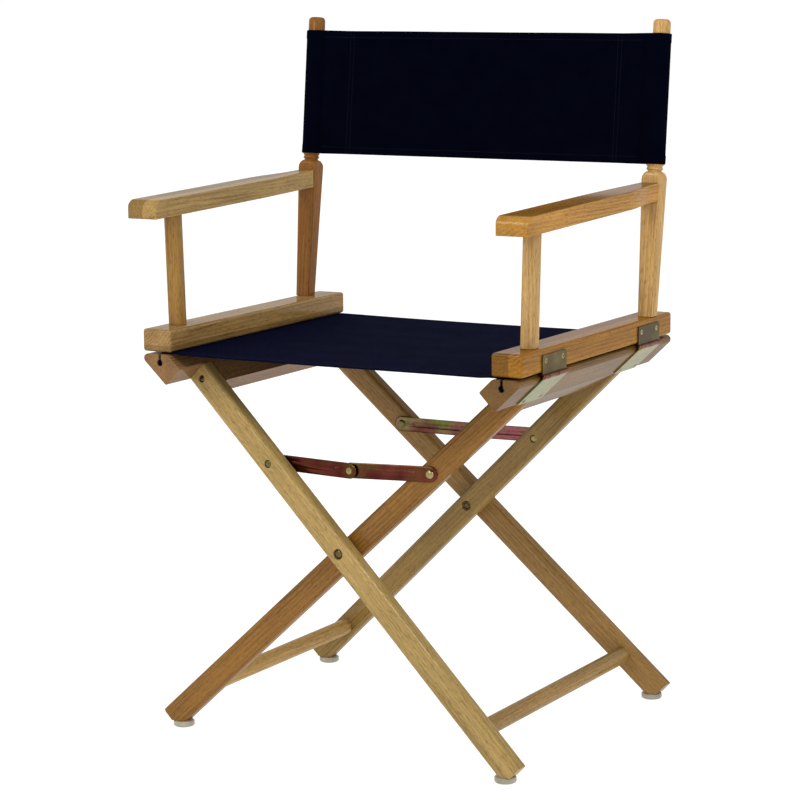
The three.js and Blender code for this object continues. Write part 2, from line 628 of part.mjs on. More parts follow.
for (const [side, mirror] of SIDES) {
  const half = group(chair, mirror, 1);
  place(half, `arm_rail_${side}`, armRail(), wood);
  place(half, `arm_post_front_${side}`, frontPost(), wood);
  place(half, `back_post_${side}`, backPost(), wood);
  place(half, `arm_rest_${side}`, armRest(), wood);
  for (const [end, flip] of ENDS) {
    const quarter = group(half, 1, flip);
    place(quarter, `hinge_arm_leaf_${side}_${end}`, armLeaf(), steel);
    place(quarter, `hinge_rail_leaf_${side}_${end}`, railLeaf(), steel);
    place(quarter, `hinge_pin_${side}_${end}`, hingePin(), steel);
  }
}

place(chair, "seat_canvas", seatCanvas(), canvas);
place(chair, "back_canvas", backCanvas(), canvas);

export default chair;
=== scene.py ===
"""Looks of a folding director's chair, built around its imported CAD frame.

Shapes are drawn in millimetres and placed in metres. As in the CAD, the leg frame's pieces are drawn for the
front of the inner frame, and the arm frame's pieces for the right side, and then mirrored.
"""

import json
import math
import random

import bmesh
import bpy
from mathutils import Matrix, Vector


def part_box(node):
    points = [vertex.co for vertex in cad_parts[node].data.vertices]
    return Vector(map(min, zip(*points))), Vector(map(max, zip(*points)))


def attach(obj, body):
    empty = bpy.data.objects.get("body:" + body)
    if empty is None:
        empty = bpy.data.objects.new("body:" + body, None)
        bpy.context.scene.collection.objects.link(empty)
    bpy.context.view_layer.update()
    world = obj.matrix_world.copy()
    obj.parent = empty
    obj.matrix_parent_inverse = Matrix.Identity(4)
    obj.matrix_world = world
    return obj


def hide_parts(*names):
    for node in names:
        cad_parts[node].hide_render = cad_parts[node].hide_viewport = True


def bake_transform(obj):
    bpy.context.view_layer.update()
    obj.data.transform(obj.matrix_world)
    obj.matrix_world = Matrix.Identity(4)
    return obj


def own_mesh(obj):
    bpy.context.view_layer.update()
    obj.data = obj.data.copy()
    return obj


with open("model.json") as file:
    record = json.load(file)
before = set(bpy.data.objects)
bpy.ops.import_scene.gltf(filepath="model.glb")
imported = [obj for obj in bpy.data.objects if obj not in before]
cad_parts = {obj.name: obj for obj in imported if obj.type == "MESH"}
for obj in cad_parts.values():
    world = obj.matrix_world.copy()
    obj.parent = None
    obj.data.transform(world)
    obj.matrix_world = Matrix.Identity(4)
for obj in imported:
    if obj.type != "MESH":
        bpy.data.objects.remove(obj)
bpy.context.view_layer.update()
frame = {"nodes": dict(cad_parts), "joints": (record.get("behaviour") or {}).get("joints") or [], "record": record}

MM = 0.001
TO_METRES = Matrix.Scale(MM, 4)
RECORD = frame["record"]
BODY_OF = {node: body for body, nodes in RECORD["behaviour"]["bodies"].items() for node in nodes}
JOINTS = {joint["name"]: joint for joint in frame["joints"]}


def span(node):
    """Lowest and highest corners of a CAD node, in millimetres."""
    low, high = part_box(node)
    return low / MM, high / MM


# ---------------------------------------------------------------- sizes that the frame gives, in millimetres
PIVOT_HEIGHT = JOINTS["fold"]["pos_m"][2] / MM
HINGE_X = JOINTS["arm_hinge_right"]["pos_m"][0] / MM
HINGE_Z = JOINTS["arm_hinge_right"]["pos_m"][2] / MM
STAY_PIN = {name: Vector(JOINTS[f"stay_{name}_front_pivot"]["pos_m"]) / MM for name in ("outer", "inner")}
STAY_PIN_ALONG = math.hypot(STAY_PIN["inner"].x, STAY_PIN["inner"].z - PIVOT_HEIGHT)

# ---------------------------------------------------------------- driving dimensions, as in the CAD
LEG_ANGLE = math.atan2(STAY_PIN["inner"].z - PIVOT_HEIGHT, STAY_PIN["inner"].x)
SPLAY = 0.0862  # how far the legs lean towards the chair's middle, per mm upwards along them
LEG_Y = {"outer": 178, "inner": 149}  # of the legs' middle lines, at the pivots' height
LEG_WIDTH = 30
LEG_THICKNESS = 21.6
LEG_EDGE = 5.6  # radius of a leg's long edges
LEG_ABOVE_PIVOT = 293
LEG_BELOW_PIVOT = 336.5
LEG_SCREW_BELOW_TOP = 13
BOLT_RECESS = 4
LEAN = math.atan(0.11)  # of the back posts, to the rear
POST_FOOT_Y = 153.2  # of the back posts' middle lines, at the arm rails' tops
REST_BOTTOM = 634
REST_TOP = 656
REST_SLOPE = 0.0235  # the arm rests rise this much per mm towards the rear
REST_LEVEL_Y = -215  # where they are at the two heights above
GAP = 0.3  # left between pieces that touch


# ---------------------------------------------------------------- mesh tools
def link(thing):
    bpy.context.scene.collection.objects.link(thing)


def finish_mesh(bm, name, place=None):
    """Turns a bmesh drawn in millimetres into an object in metres, with its faces pointing out."""
    bmesh.ops.recalc_face_normals(bm, faces=bm.faces)
    mesh = bpy.data.meshes.new(name)
    bm.to_mesh(mesh)
    bm.free()
    matrix = TO_METRES @ (place or Matrix())
    mesh.transform(matrix)
    if matrix.determinant() < 0:
        mesh.flip_normals()
    mesh.shade_smooth()
    piece = bpy.data.objects.new(name, mesh)
    link(piece)
    return piece


def rounded(corners, steps=6):
    """Points of a closed outline from corners (x, y, radius), anticlockwise."""
    points = []
    for i, (x, y, radius) in enumerate(corners):
        corner = Vector((x, y))
        before = (Vector(corners[i - 1][:2]) - corner).normalized()
        after = (Vector(corners[(i + 1) % len(corners)][:2]) - corner).normalized()
        if radius == 0:
            points.append(corner)
            continue
        half = before.angle(after) / 2
        middle = corner + (before + after).normalized() * radius / math.sin(half)
        start = corner + before * radius / math.tan(half) - middle
        end = corner + after * radius / math.tan(half) - middle
        for k in range(steps + 1):
            points.append(middle + start.slerp(end, k / steps).normalized() * radius)
    return points


def box_corners(x0, y0, x1, y1, radius):
    return [(x0, y0, radius), (x1, y0, radius), (x1, y1, radius), (x0, y1, radius)]


def prism(points, z0, z1):
    """An outline drawn out along local Z."""
    bm = bmesh.new()
    low = [bm.verts.new((p[0], p[1], z0)) for p in points]
    high = [bm.verts.new((p[0], p[1], z1)) for p in points]
    bm.faces.new(low[::-1])
    bm.faces.new(high)
    for i in range(len(points)):
        bm.faces.new((low[i - 1], low[i], high[i], high[i - 1]))
    return bm


def rings(loops, closed=True, welded=False):
    """A skin through equal rings of points, with flat ends, or with its last ring welded to its first."""
    bm = bmesh.new()
    made = [[bm.verts.new(p) for p in loop] for loop in (loops[:-1] if welded else loops)]
    if welded:
        made.append(made[0])
    for a, b in zip(made, made[1:]):
        for i in range(len(a)):
            bm.faces.new((a[i - 1], a[i], b[i], b[i - 1]))
    if closed:
        bm.faces.new(made[0][::-1])
        bm.faces.new(made[-1])
    return bm


def lathe(profile, segments=40, hollow=False, reach=0):
    """A piece turned about local Z, from (radius, z) points by rising z, with flat ends.

    A hollow one is a closed profile round an open middle. With reach, half of it lies that far off along X.
    """
    turns = [2 * math.pi * (k + 0.5) / segments for k in range(segments)]
    loops = [[(r * math.cos(a) + (reach if math.cos(a) > 0 else 0), r * math.sin(a), z) for a in turns]
             for r, z in profile]
    return rings(loops + loops[:1], closed=False, welded=True) if hollow else rings(loops)


def arc(centre, radius, start, end, steps=6):
    """Points of an arc, with its angles in degrees."""
    angles = [math.radians(start + (end - start) * k / steps) for k in range(steps + 1)]
    return [(centre[0] + radius * math.cos(a), centre[1] + radius * math.sin(a)) for a in angles]


def shave(bm, point, normal):
    """Cuts off what lies beyond a plane and closes the cut."""
    geometry = bm.verts[:] + bm.edges[:] + bm.faces[:]
    made = bmesh.ops.bisect_plane(bm, geom=geometry, plane_co=point, plane_no=normal, clear_outer=True)
    edges = [e for e in made["geom_cut"] if isinstance(e, bmesh.types.BMEdge)]
    bmesh.ops.contextual_create(bm, geom=edges)


def settle(piece):
    """Applies a piece's modifiers."""
    graph = bpy.context.evaluated_depsgraph_get()
    mesh = bpy.data.meshes.new_from_object(piece.evaluated_get(graph))
    piece.modifiers.clear()
    old = piece.data
    piece.data = mesh
    bpy.data.meshes.remove(old)


def carve(piece, tools, operation="DIFFERENCE"):
    """Cuts the tools out of a piece, or joins them to it, and removes them."""
    for tool in tools:
        boolean = piece.modifiers.new("cut", "BOOLEAN")
        boolean.operation = operation
        boolean.solver = "EXACT"
        boolean.object = tool
    settle(piece)
    for tool in tools:
        bpy.data.objects.remove(tool)
    piece.data.shade_smooth()
    return piece


def soften(piece, width, segments=3, angle=38):
    """Rounds the edges that are sharper than an angle, and keeps wide faces flat."""
    bevel = piece.modifiers.new("edges", "BEVEL")
    bevel.width = width * MM
    bevel.segments = segments
    bevel.limit_method = "ANGLE"
    bevel.angle_limit = math.radians(angle)
    bevel.use_clamp_overlap = True
    normals = piece.modifiers.new("normals", "WEIGHTED_NORMAL")
    normals.keep_sharp = True
    return piece


def rod(radius, start, end, name="tool", segments=32):
    """A plain cylinder between two points."""
    line = Vector(end) - Vector(start)
    place = Matrix.Translation(start) @ line.to_track_quat("Z", "Y").to_matrix().to_4x4()
    return finish_mesh(lathe([(radius, 0), (radius, line.length)], segments), name, place)


def mirror(x, y):
    return Matrix.Diagonal((x, y, 1, 1))


def basis(x, y, z, at=(0, 0, 0)):
    """A matrix from its three axes and its origin."""
    matrix = Matrix((x, y, z)).transposed().to_4x4()
    matrix.translation = at
    return matrix


def along_y(at):
    """Local z along the chair's Y."""
    return basis((0, 0, 1), (1, 0, 0), (0, 1, 0), at)


FROM_SIDE = basis((0, 1, 0), (0, 0, 1), (1, 0, 0))  # local x along the chair's Y, local y up


def dress(piece, material):
    piece.data.materials.clear()
    piece.data.materials.append(material)


def stands_for(piece, node, material):
    """The piece replaces a CAD node: it is named after it, rides on the node's body and takes a material, and the
    node is hidden.
    """
    piece.name = f"fine_{node}"
    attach(piece, BODY_OF[node])
    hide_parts(node)
    dress(piece, material)


# ---------------------------------------------------------------- material tools
class Shader:
    """A material's node tree, written as nested calls."""

    def __init__(self, name):
        self.material = bpy.data.materials.new(name)
        self.material.use_nodes = True
        self.tree = self.material.node_tree
        self.surface = self.tree.nodes["Principled BSDF"]

    def node(self, kind, inputs=(), output=0, **settings):
        made = self.tree.nodes.new(kind)
        for key, value in settings.items():
            setattr(made, key, value)
        for key, value in dict(inputs).items():
            self.put(made.inputs[key], value)
        return made.outputs[output]

    def put(self, socket, value):
        if isinstance(value, bpy.types.NodeSocket):
            self.tree.links.new(value, socket)
        else:
            socket.default_value = value

    def math(self, operation, *values):
        return self.node("ShaderNodeMath", enumerate(values), operation=operation)

    def add(self, *values):
        return self.math("ADD", *values)

    def times(self, *values):
        return self.math("MULTIPLY", *values)

    def vector(self, operation, *values):
        return self.node("ShaderNodeVectorMath", enumerate(values), operation=operation)

    def noise(self, at, scale, detail=3.0, roughness=0.55):
        stretched = self.vector("MULTIPLY", at, scale)
        return self.node("ShaderNodeTexNoise", {"Vector": stretched, "Scale": 1.0, "Detail": detail,
                                                "Roughness": roughness})

    def level(self, value, low, high, to_low=0.0, to_high=1.0):
        return self.node("ShaderNodeMapRange", {"Value": value, "From Min": low, "From Max": high,
                                                "To Min": to_low, "To Max": to_high})

    def blend(self, share, a, b, mode="MIX"):
        mix = self.tree.nodes.new("ShaderNodeMix")
        mix.data_type = "RGBA"
        mix.blend_type = mode
        self.put(mix.inputs[0], share)
        self.put(mix.inputs[6], a)
        self.put(mix.inputs[7], b)
        return mix.outputs[2]

    def place(self):
        """Where a point lies in the piece's own frame, in metres."""
        return self.node("ShaderNodeTexCoord", output=3)

    def split(self, vector):
        return self.node("ShaderNodeSeparateXYZ", {"Vector": vector}).node.outputs

    def bump(self, height, depth, strength=1.0):
        """depth is in millimetres."""
        made = self.node("ShaderNodeBump", {"Height": height, "Distance": depth * MM, "Strength": strength})
        self.put(self.surface.inputs["Normal"], made)

    def set(self, **sockets):
        for key, value in sockets.items():
            self.put(self.surface.inputs[key.replace("_", " ")], value)


def colour(red, green, blue):
    """A display colour, 0 to 255, as the linear colour that a shader takes."""
    shares = [value / 255 for value in (red, green, blue)]
    return (*[v / 12.92 if v <= 0.0404 else ((v + 0.055) / 1.055) ** 2.4 for v in shares], 1.0)


# ---------------------------------------------------------------- materials
# Each board has its own colour, set to how it looks in the room's light: partly the board's own tone and
# partly painted light and shade, as a board that stands in shade is given a darker colour.
BOARD = {
    "leg_outer_front": (159, 131, 77),
    "leg_outer_rear": (136, 102, 54),
    "leg_inner_front": (130, 90, 38),
    "leg_inner_rear": (132, 104, 56),
    "foot_stretcher_right": (144, 112, 62),
    "foot_stretcher_left": (166, 131, 72),
    "seat_rail_left": (126, 92, 56),
    "seat_rail_right": (108, 78, 38),
    "seat_dowel_left": (170, 136, 92),
    "seat_dowel_right": (170, 136, 92),
    "arm_rail_left": (152, 119, 70),
    "arm_rail_right": (146, 98, 22),
    "arm_post_front_left": (147, 109, 52),
    "arm_post_front_right": (174, 138, 84),
    "back_post_left": (126, 80, 28),
    "back_post_right": (183, 143, 84),
    "arm_rest_left": (162, 130, 74),
    "arm_rest_right": (166, 118, 48),
}


def tinted(base, share):
    """A display colour made lighter or darker; the darker, the redder."""
    red, green, blue = base
    return colour(min(255, red * share), min(255, green * share ** 1.12), min(255, blue * share ** 1.35))


RINGS_TURN_BACK = 90.0  # a board's figure mirrors itself at this many millimetres


def wood(name, along, face, figure=1.0, pith=(55, 40), ring=3.4, glued_and_shaded=None):
    """Varnished board: growth rings about a far pith, long fibres and short open pores.

    along is the grain's direction and face a direction across the board. figure is the strength of the
    rings, pith how far off their middle lies and ring their spacing, in millimetres. glued_and_shaded is
    (direction, distance in millimetres from the origin, shade) for the part of the board beyond a plane, which
    takes another shade: a glued strip where the board is laminated from two pieces, and on the right arm
    rest's top a painted dark reflection.
    """
    shader = Shader(f"wood_{name}")
    z = Vector(along).normalized()
    x = (Vector(face) - z * Vector(face).dot(z)).normalized()
    seed = random.Random(name)
    shift = [seed.uniform(-0.4, 0.4) for _ in range(3)]
    place = shader.place()
    grain = shader.node("ShaderNodeMapping", {"Vector": place, "Location": shift, "Scale": (MM, MM, MM),
                                              "Rotation": basis(x, z.cross(x), z).to_euler()},
                        vector_type="TEXTURE")
    parts = shader.split(grain)
    side = [shader.add(shader.math("PINGPONG", parts[i], RINGS_TURN_BACK), float(pith[i]))
            for i in (0, 1)]
    squares = [shader.times(value, value) for value in side]
    radius = shader.math("SQRT", shader.add(*squares))
    sweep = shader.noise(grain, (0.012, 0.012, 0.0022), 2.0)
    ripple = shader.noise(grain, (0.09, 0.09, 0.009), 2.0)
    bend = shader.add(shader.times(sweep, 7.0), shader.times(ripple, 1.3))
    turn = shader.math("FRACT", shader.add(shader.math("DIVIDE", radius, ring), bend))
    late = shader.math("POWER", turn, 2.4)
    fibre = shader.noise(grain, (2.2, 2.2, 0.04), 5.0, 0.72)
    streak = shader.noise(grain, (0.42, 0.42, 0.008), 3.0, 0.6)
    broad = shader.noise(grain, (0.03, 0.03, 0.005), 2.0)
    pore = shader.level(shader.noise(grain, (2.0, 2.0, 0.11), 2.0, 0.5), 0.57, 0.66)
    flow = shader.level(broad, 0.35, 0.65, 0.1, 1.0)
    share = shader.times(shader.times(late, flow), 0.36 * figure)
    share = shader.add(share, shader.level(fibre, 0.3, 0.7, 0.0, 0.34))
    share = shader.add(share, shader.level(streak, 0.35, 0.68, 0.0, 0.36))
    share = shader.add(share, shader.level(broad, 0.3, 0.7, -0.12, 0.14))
    base = BOARD[name]
    stain = shader.blend(share, tinted(base, 1.16), tinted(base, 0.68))
    # A second shade beyond a plane: a glued strip, and on the right arm rest's top a painted dark reflection.
    if glued_and_shaded:
        direction, distance, other = glued_and_shaded
        reach = shader.node("ShaderNodeVectorMath", {0: place, 1: direction}, output=1,
                            operation="DOT_PRODUCT")
        beyond = shader.level(reach, distance * MM, (distance + 0.25) * MM)
        second = shader.blend(share, tinted(base, 1.16 * other), tinted(base, 0.66 * other))
        stain = shader.blend(beyond, stain, second)
    stain = shader.blend(shader.times(pore, 0.75), stain, tinted(base, 0.5))
    shader.set(Base_Color=stain, Roughness=shader.level(fibre, 0.3, 0.7, 0.30, 0.44), Specular_IOR_Level=0.0,
               Coat_Weight=0.36, Coat_Roughness=0.1)
    relief = shader.math("SUBTRACT", shader.times(fibre, 0.35), shader.times(pore, 0.8))
    shader.bump(relief, 0.06, 0.5)
    return shader.material


def plated_steel(name, main, tint, second, roughness, knuckle=None):
    """Zinc plate whose passivation shifts softly between colours; knuckle is its shade round a hinge pin."""
    shader = Shader(name)
    place = shader.place()
    cloud = shader.noise(place, (16, 16, 16), 2.0, 0.5)
    other = shader.noise(shader.vector("ADD", place, (3.1, 1.7, 5.3)), (26, 26, 26), 2.0, 0.5)
    grime = shader.noise(place, (160, 160, 160), 4.0, 0.65)
    fine = shader.noise(place, (1100, 1100, 1100), 3.0, 0.6)
    base = shader.blend(shader.level(cloud, 0.36, 0.68), main, tint)
    base = shader.blend(shader.level(other, 0.46, 0.74, 0.0, 0.8), base, second)
    base = shader.blend(shader.level(grime, 0.5, 0.75, 0.0, 0.55), base, colour(58, 42, 20))
    if knuckle:
        x, _, z = shader.split(place)
        across = shader.math("SUBTRACT", shader.math("ABSOLUTE", x), HINGE_X * MM)
        up = shader.math("SUBTRACT", z, HINGE_Z * MM)
        away = shader.math("SQRT", shader.add(shader.times(across, across), shader.times(up, up)))
        base = shader.blend(shader.level(away, 3.0 * MM, 4.0 * MM, 1.0, 0.0), base, knuckle)
    shader.set(Base_Color=base, Metallic=1.0,
               Roughness=shader.level(fine, 0.3, 0.7, roughness, roughness + 0.12))
    shader.bump(fine, 0.02, 0.25)
    return shader.material


WEAVE_PITCH = 0.62


def canvas(name, shade, lift):
    """Plain-woven cotton canvas. The weave follows the cloth's own map, in metres."""
    shader = Shader(name)
    cloth = shader.node("ShaderNodeUVMap", uv_map="cloth")
    split = shader.split(cloth)
    turns = 2 * math.pi / (WEAVE_PITCH * MM)
    slub = shader.noise(cloth, (420, 90, 1), 3.0, 0.6)
    warp = shader.add(shader.times(split[0], turns), shader.times(slub, 1.4))
    weft = shader.times(split[1], turns)
    over = shader.times(shader.math("SINE", warp), shader.math("SINE", weft))
    thread = shader.add(shader.times(over, 0.5), 0.5)
    wear = shader.noise(cloth, (28, 28, 1), 4.0, 0.6)
    yarn = shader.noise(cloth, (1900, 240, 1), 2.0, 0.6)
    share = shader.add(shader.times(thread, 0.45), shader.level(wear, 0.3, 0.7, -0.05, 0.25))
    share = shader.add(share, shader.level(yarn, 0.3, 0.7, -0.12, 0.2))
    shader.set(Base_Color=shader.blend(share, shade, lift), Roughness=0.95, Specular_IOR_Level=0.012)
    shader.bump(shader.add(thread, shader.times(yarn, 0.6)), 0.18, 0.7)
    return shader.material


def thread_material(name, shade, lift):
    shader = Shader(name)
    place = shader.place()
    twist = shader.noise(place, (2600, 2600, 2600), 2.0)
    shader.set(Base_Color=shader.blend(twist, shade, lift), Roughness=0.7, Specular_IOR_Level=0.15)
    shader.bump(twist, 0.05, 0.6)
    return shader.material


def glide_material():
    shader = Shader("glide_plastic")
    place = shader.place()
    mottle = shader.noise(place, (60, 60, 60), 4.0)
    scuff = shader.noise(place, (700, 700, 160), 3.0)
    base = shader.blend(shader.level(mottle, 0.3, 0.7), colour(160, 156, 140), colour(126, 124, 106))
    shader.set(Base_Color=base, Roughness=shader.level(scuff, 0.3, 0.7, 0.32, 0.5), Subsurface_Weight=0.05)
    shader.bump(scuff, 0.03, 0.3)
    return shader.material


# The steels' colours are set to how the plated parts look in the room, darker than the plate's own colours:
# painted dark reflections of the room, as the world here is white all round.
OLIVE_GOLD = colour(82, 64, 16)
DARK_OLIVE = colour(64, 48, 12)
PALE_GREEN = colour(124, 136, 88)
COPPER_PINK = colour(118, 70, 50)
MAGENTA = colour(74, 30, 26)
BRASSY = colour(140, 122, 76)
STRAW = colour(146, 132, 82)

ARM_LEAF_STEEL = plated_steel("arm_leaf_steel", OLIVE_GOLD, DARK_OLIVE, colour(112, 98, 46), 0.3,
                              knuckle=COPPER_PINK)
RAIL_LEAF_STEEL = plated_steel("rail_leaf_steel", PALE_GREEN, STRAW, colour(122, 126, 78), 0.3,
                               knuckle=COPPER_PINK)
KNUCKLE_STEEL = plated_steel("hinge_pin_steel", COPPER_PINK, BRASSY, OLIVE_GOLD, 0.25)
STAY_STEEL = plated_steel("stay_steel", MAGENTA, colour(120, 64, 50), colour(92, 84, 38), 0.16)
PALE_STAY_STEEL = plated_steel("stay_steel_pale", colour(132, 76, 80), colour(70, 124, 34), MAGENTA, 0.18)
BOLT_STEEL = plated_steel("bolt_steel", colour(92, 76, 46), colour(112, 122, 84), colour(96, 54, 50), 0.12)
BRIGHT_STEEL = plated_steel("screw_steel", STRAW, colour(172, 160, 118), BRASSY, 0.18)
DARK_STEEL = plated_steel("dark_screw_steel", OLIVE_GOLD, BRASSY, MAGENTA, 0.2)
# The back's canvas and thread are given far darker colours than the seat's: painted shade, as the upright back
# takes less of the light from above.
SEAT_CANVAS = canvas("seat_canvas_navy", colour(4, 6, 22), colour(15, 18, 48))
BACK_CANVAS_SHADED = canvas("back_canvas_navy_shaded", colour(0, 1, 8), colour(5, 7, 22))
SEAT_THREAD = thread_material("seat_thread_navy", colour(6, 8, 22), colour(18, 22, 46))
BACK_THREAD_SHADED = thread_material("back_thread_navy_shaded", colour(2, 3, 10), colour(8, 10, 26))
GLIDE = glide_material()


def wooden(piece, node, *figure):
    stands_for(piece, node, wood(node, *figure))


def steel(piece, node, material):
    stands_for(piece, node, material)



# ---------------------------------------------------------------- leg frames
ALONG = Vector((math.cos(LEG_ANGLE), 0, math.sin(LEG_ANGLE)))
ACROSS = Vector((-math.sin(LEG_ANGLE), 0, math.cos(LEG_ANGLE)))
LEG_STRETCH = math.hypot(1, SPLAY)
MIRRORS = {"outer": -1, "inner": 1}
ENDS = {"front": 1, "rear": -1}
HEADS_OUT = {"outer": 1, "inner": -1}  # which face of the leg the heads are let into, along its local y
PIVOT_HOLE = 4.3
BOLT_HEAD_HOLE = 6.6
PIN_HEAD_HOLE = 5.0
LEG_SCREW_HOLE = 4.6
HEAD_DEPTH = 3
LEG_FIGURE = {  # how strong the rings are and where the pith lies
    ("outer", "front"): (0.7, (60, 44)),
    ("outer", "rear"): (1.0, (40, 70)),
    ("inner", "front"): (1.25, (36, 22)),
    ("inner", "rear"): (0.9, (52, 80)),
}


def on_leg(along, across=0.0, y=0.0):
    return Vector((0, y, PIVOT_HEIGHT)) + ALONG * along + ACROSS * across


def leg_place(name):
    """Local x across the leg, local y out of its front face, local z up along it."""
    up = (ALONG + Vector((0, SPLAY, 0))).normalized()
    return basis(ACROSS, up.cross(ACROSS), up, (0, -LEG_Y[name], PIVOT_HEIGHT))


def leg_side(name, end):
    """Takes what is drawn at the front of the inner frame to one of the four legs."""
    return mirror(MIRRORS[name], ENDS[end])


def leg_frame(name, end):
    return leg_side(name, end) @ leg_place(name)


def leg_tool(name, end, along, radius, y0, y1):
    """A cylinder square to the leg's face, from y0 to y1 in the leg's frame."""
    place = leg_frame(name, end)
    height = along * LEG_STRETCH
    return rod(radius, place @ Vector((0, y0, height)), place @ Vector((0, y1, height)))


def make_leg(name, end):
    half = LEG_THICKNESS / 2
    section = rounded(box_corners(-LEG_WIDTH / 2, -half, LEG_WIDTH / 2, half, LEG_EDGE), 7)
    reach = (LEG_BELOW_PIVOT + 20) * LEG_STRETCH
    bm = prism(section, -reach, reach)
    bm.transform(leg_place(name))
    shave(bm, on_leg(LEG_ABOVE_PIVOT - GAP), ALONG)
    shave(bm, on_leg(-LEG_BELOW_PIVOT), -ALONG)
    shave(bm, (0, 0, span("foot_glide_outer_front")[1].z + GAP), (0, 0, -1))
    leg = finish_mesh(bm, "leg", leg_side(name, end))
    out = HEADS_OUT[name]
    middle = -LEG_Y[name]
    face = middle - out * half

    def pivot_tool(radius, y0, y1):
        return rod(radius, (0, ENDS[end] * y0, PIVOT_HEIGHT), (0, ENDS[end] * y1, PIVOT_HEIGHT))

    shallow, proud = half - HEAD_DEPTH, half + HEAD_DEPTH
    screw_at = LEG_ABOVE_PIVOT - LEG_SCREW_BELOW_TOP
    carve(leg, [
        pivot_tool(PIVOT_HOLE, middle - 30, middle + 30),
        pivot_tool(BOLT_HEAD_HOLE, face - 4 * out, face + BOLT_RECESS * out),
        leg_tool(name, end, STAY_PIN_ALONG, PIN_HEAD_HOLE, out * shallow, out * proud),
        leg_tool(name, end, screw_at, LEG_SCREW_HOLE, shallow, proud),
    ])
    soften(leg, 0.7)
    grain = leg_side(name, end).to_3x3() @ leg_place(name).to_3x3().col[2]
    wooden(leg, f"leg_{name}_{end}", grain, (0, 1, 0), *LEG_FIGURE[name, end])


def make_stretcher(side, name):
    """Round rail between the feet of one leg frame."""
    node = f"foot_stretcher_{side}"
    low, high = span(node)
    x, z, radius = (low.x + high.x) / 2, (low.z + high.z) / 2, (high.z - low.z) / 2
    beyond_legs = 220
    bm = lathe([(radius, y) for y in (-beyond_legs, -90, 0, 90, beyond_legs)], 48)
    bm.transform(along_y((x, 0, z)))
    for end in ENDS:
        leg = leg_frame(name, end)
        shave(bm, leg @ Vector((0, -LEG_THICKNESS / 2 - GAP, 0)), leg.to_3x3().col[1].copy())
    wooden(soften(finish_mesh(bm, node), 0.4), node, (0, 1, 0), (1, 0, 0))


def make_seat_rail(side):
    """The CAD rail keeps its shape; its facets are joined and its edges eased."""
    node = frame["nodes"][f"seat_rail_{side}"]
    weld = node.modifiers.new("weld", "WELD")
    weld.merge_threshold = 0.02 * MM
    flat = node.modifiers.new("flat", "DECIMATE")
    flat.decimate_type = "DISSOLVE"
    flat.angle_limit = math.radians(1.5)
    soften(node, 0.6, 3, 42)
    node.data.shade_smooth()
    dress(node, wood(f"seat_rail_{side}", (0, 1, 0), (1, 0, -1), 1.2, (20, 60), 3.0))


def make_glide(name, end):
    node = f"foot_glide_{name}_{end}"
    low, high = span(node)
    radius, top = (high.x - low.x) / 2, high.z
    profile = [(radius * 0.5, 0), (radius * 0.72, 0.05)]
    profile += arc((radius - 2.6, 2.7), 2.6, -80, 0, 6)
    profile += [(radius, top - 3.2)] + arc((radius - 1.6, top - 1.9), 1.6, 10, 80, 5)
    profile += [(radius - 3.0, top), (radius * 0.4, top)]
    place = Matrix.Translation(((low.x + high.x) / 2, (low.y + high.y) / 2, 0))
    stands_for(finish_mesh(lathe(profile, 48), node, place), node, GLIDE)


for frame_name in MIRRORS:
    for end_name in ENDS:
        make_leg(frame_name, end_name)
        make_glide(frame_name, end_name)
make_stretcher("right", "outer")
make_stretcher("left", "inner")
make_seat_rail("left")
make_seat_rail("right")

# ---------------------------------------------------------------- arm frames
SIDES = {"left": -1, "right": 1}


def rounded_square(half, corner):
    corners = box_corners(-half, -half, half, half, min(corner, half * 0.999))
    return [(p.x, p.y) for p in rounded(corners, 8)]


def make_arm_rail(side):
    node = f"arm_rail_{side}"
    low, high = span(node)
    bm = prism([(low.x, low.y), (high.x, low.y), (high.x, high.y), (low.x, high.y)], low.z, high.z)
    piece = soften(finish_mesh(bm, node), 3.6, 6)
    glued_and_shaded = {"left": ((0, 0, -1), -481, 0.84), "right": ((-1, 0, 0), -239, 0.8)}[side]
    wooden(piece, node, (0, 1, 0), (1, 0, 0), 1.35, (14, 26), 3.8, glued_and_shaded)


FRONT_POST_HALF = 9.5
FRONT_POST_X = 239.6  # at its foot
FRONT_POST_LEAN = 3.8 / 134  # outwards


def make_front_post(side):
    node = f"arm_post_front_{side}"
    low, high = span(node)
    y = (low.y + high.y) / 2
    bottom = span(f"arm_rail_{side}")[1].z + GAP
    top = REST_BOTTOM + REST_SLOPE * (y - REST_LEVEL_Y) - GAP
    loops = []
    for z in (bottom, (bottom + top) / 2, top):
        x = FRONT_POST_X + FRONT_POST_LEAN * (z - bottom)
        loops.append([(SIDES[side] * (x + px), y + py, z) for px, py in rounded_square(FRONT_POST_HALF, 6)])
    wooden(soften(finish_mesh(rings(loops), node), 0.3), node, (0, 0, 1), (1, 0, 0), 0.9, (44, 30))


SHOULDER = 178  # up the back post, where it goes from square to round
SHOULDER_RISE = 9
NECK_RADIUS = 8.8
DOWEL_RADIUS = 10.75
CROWN_RADIUS = 4.8


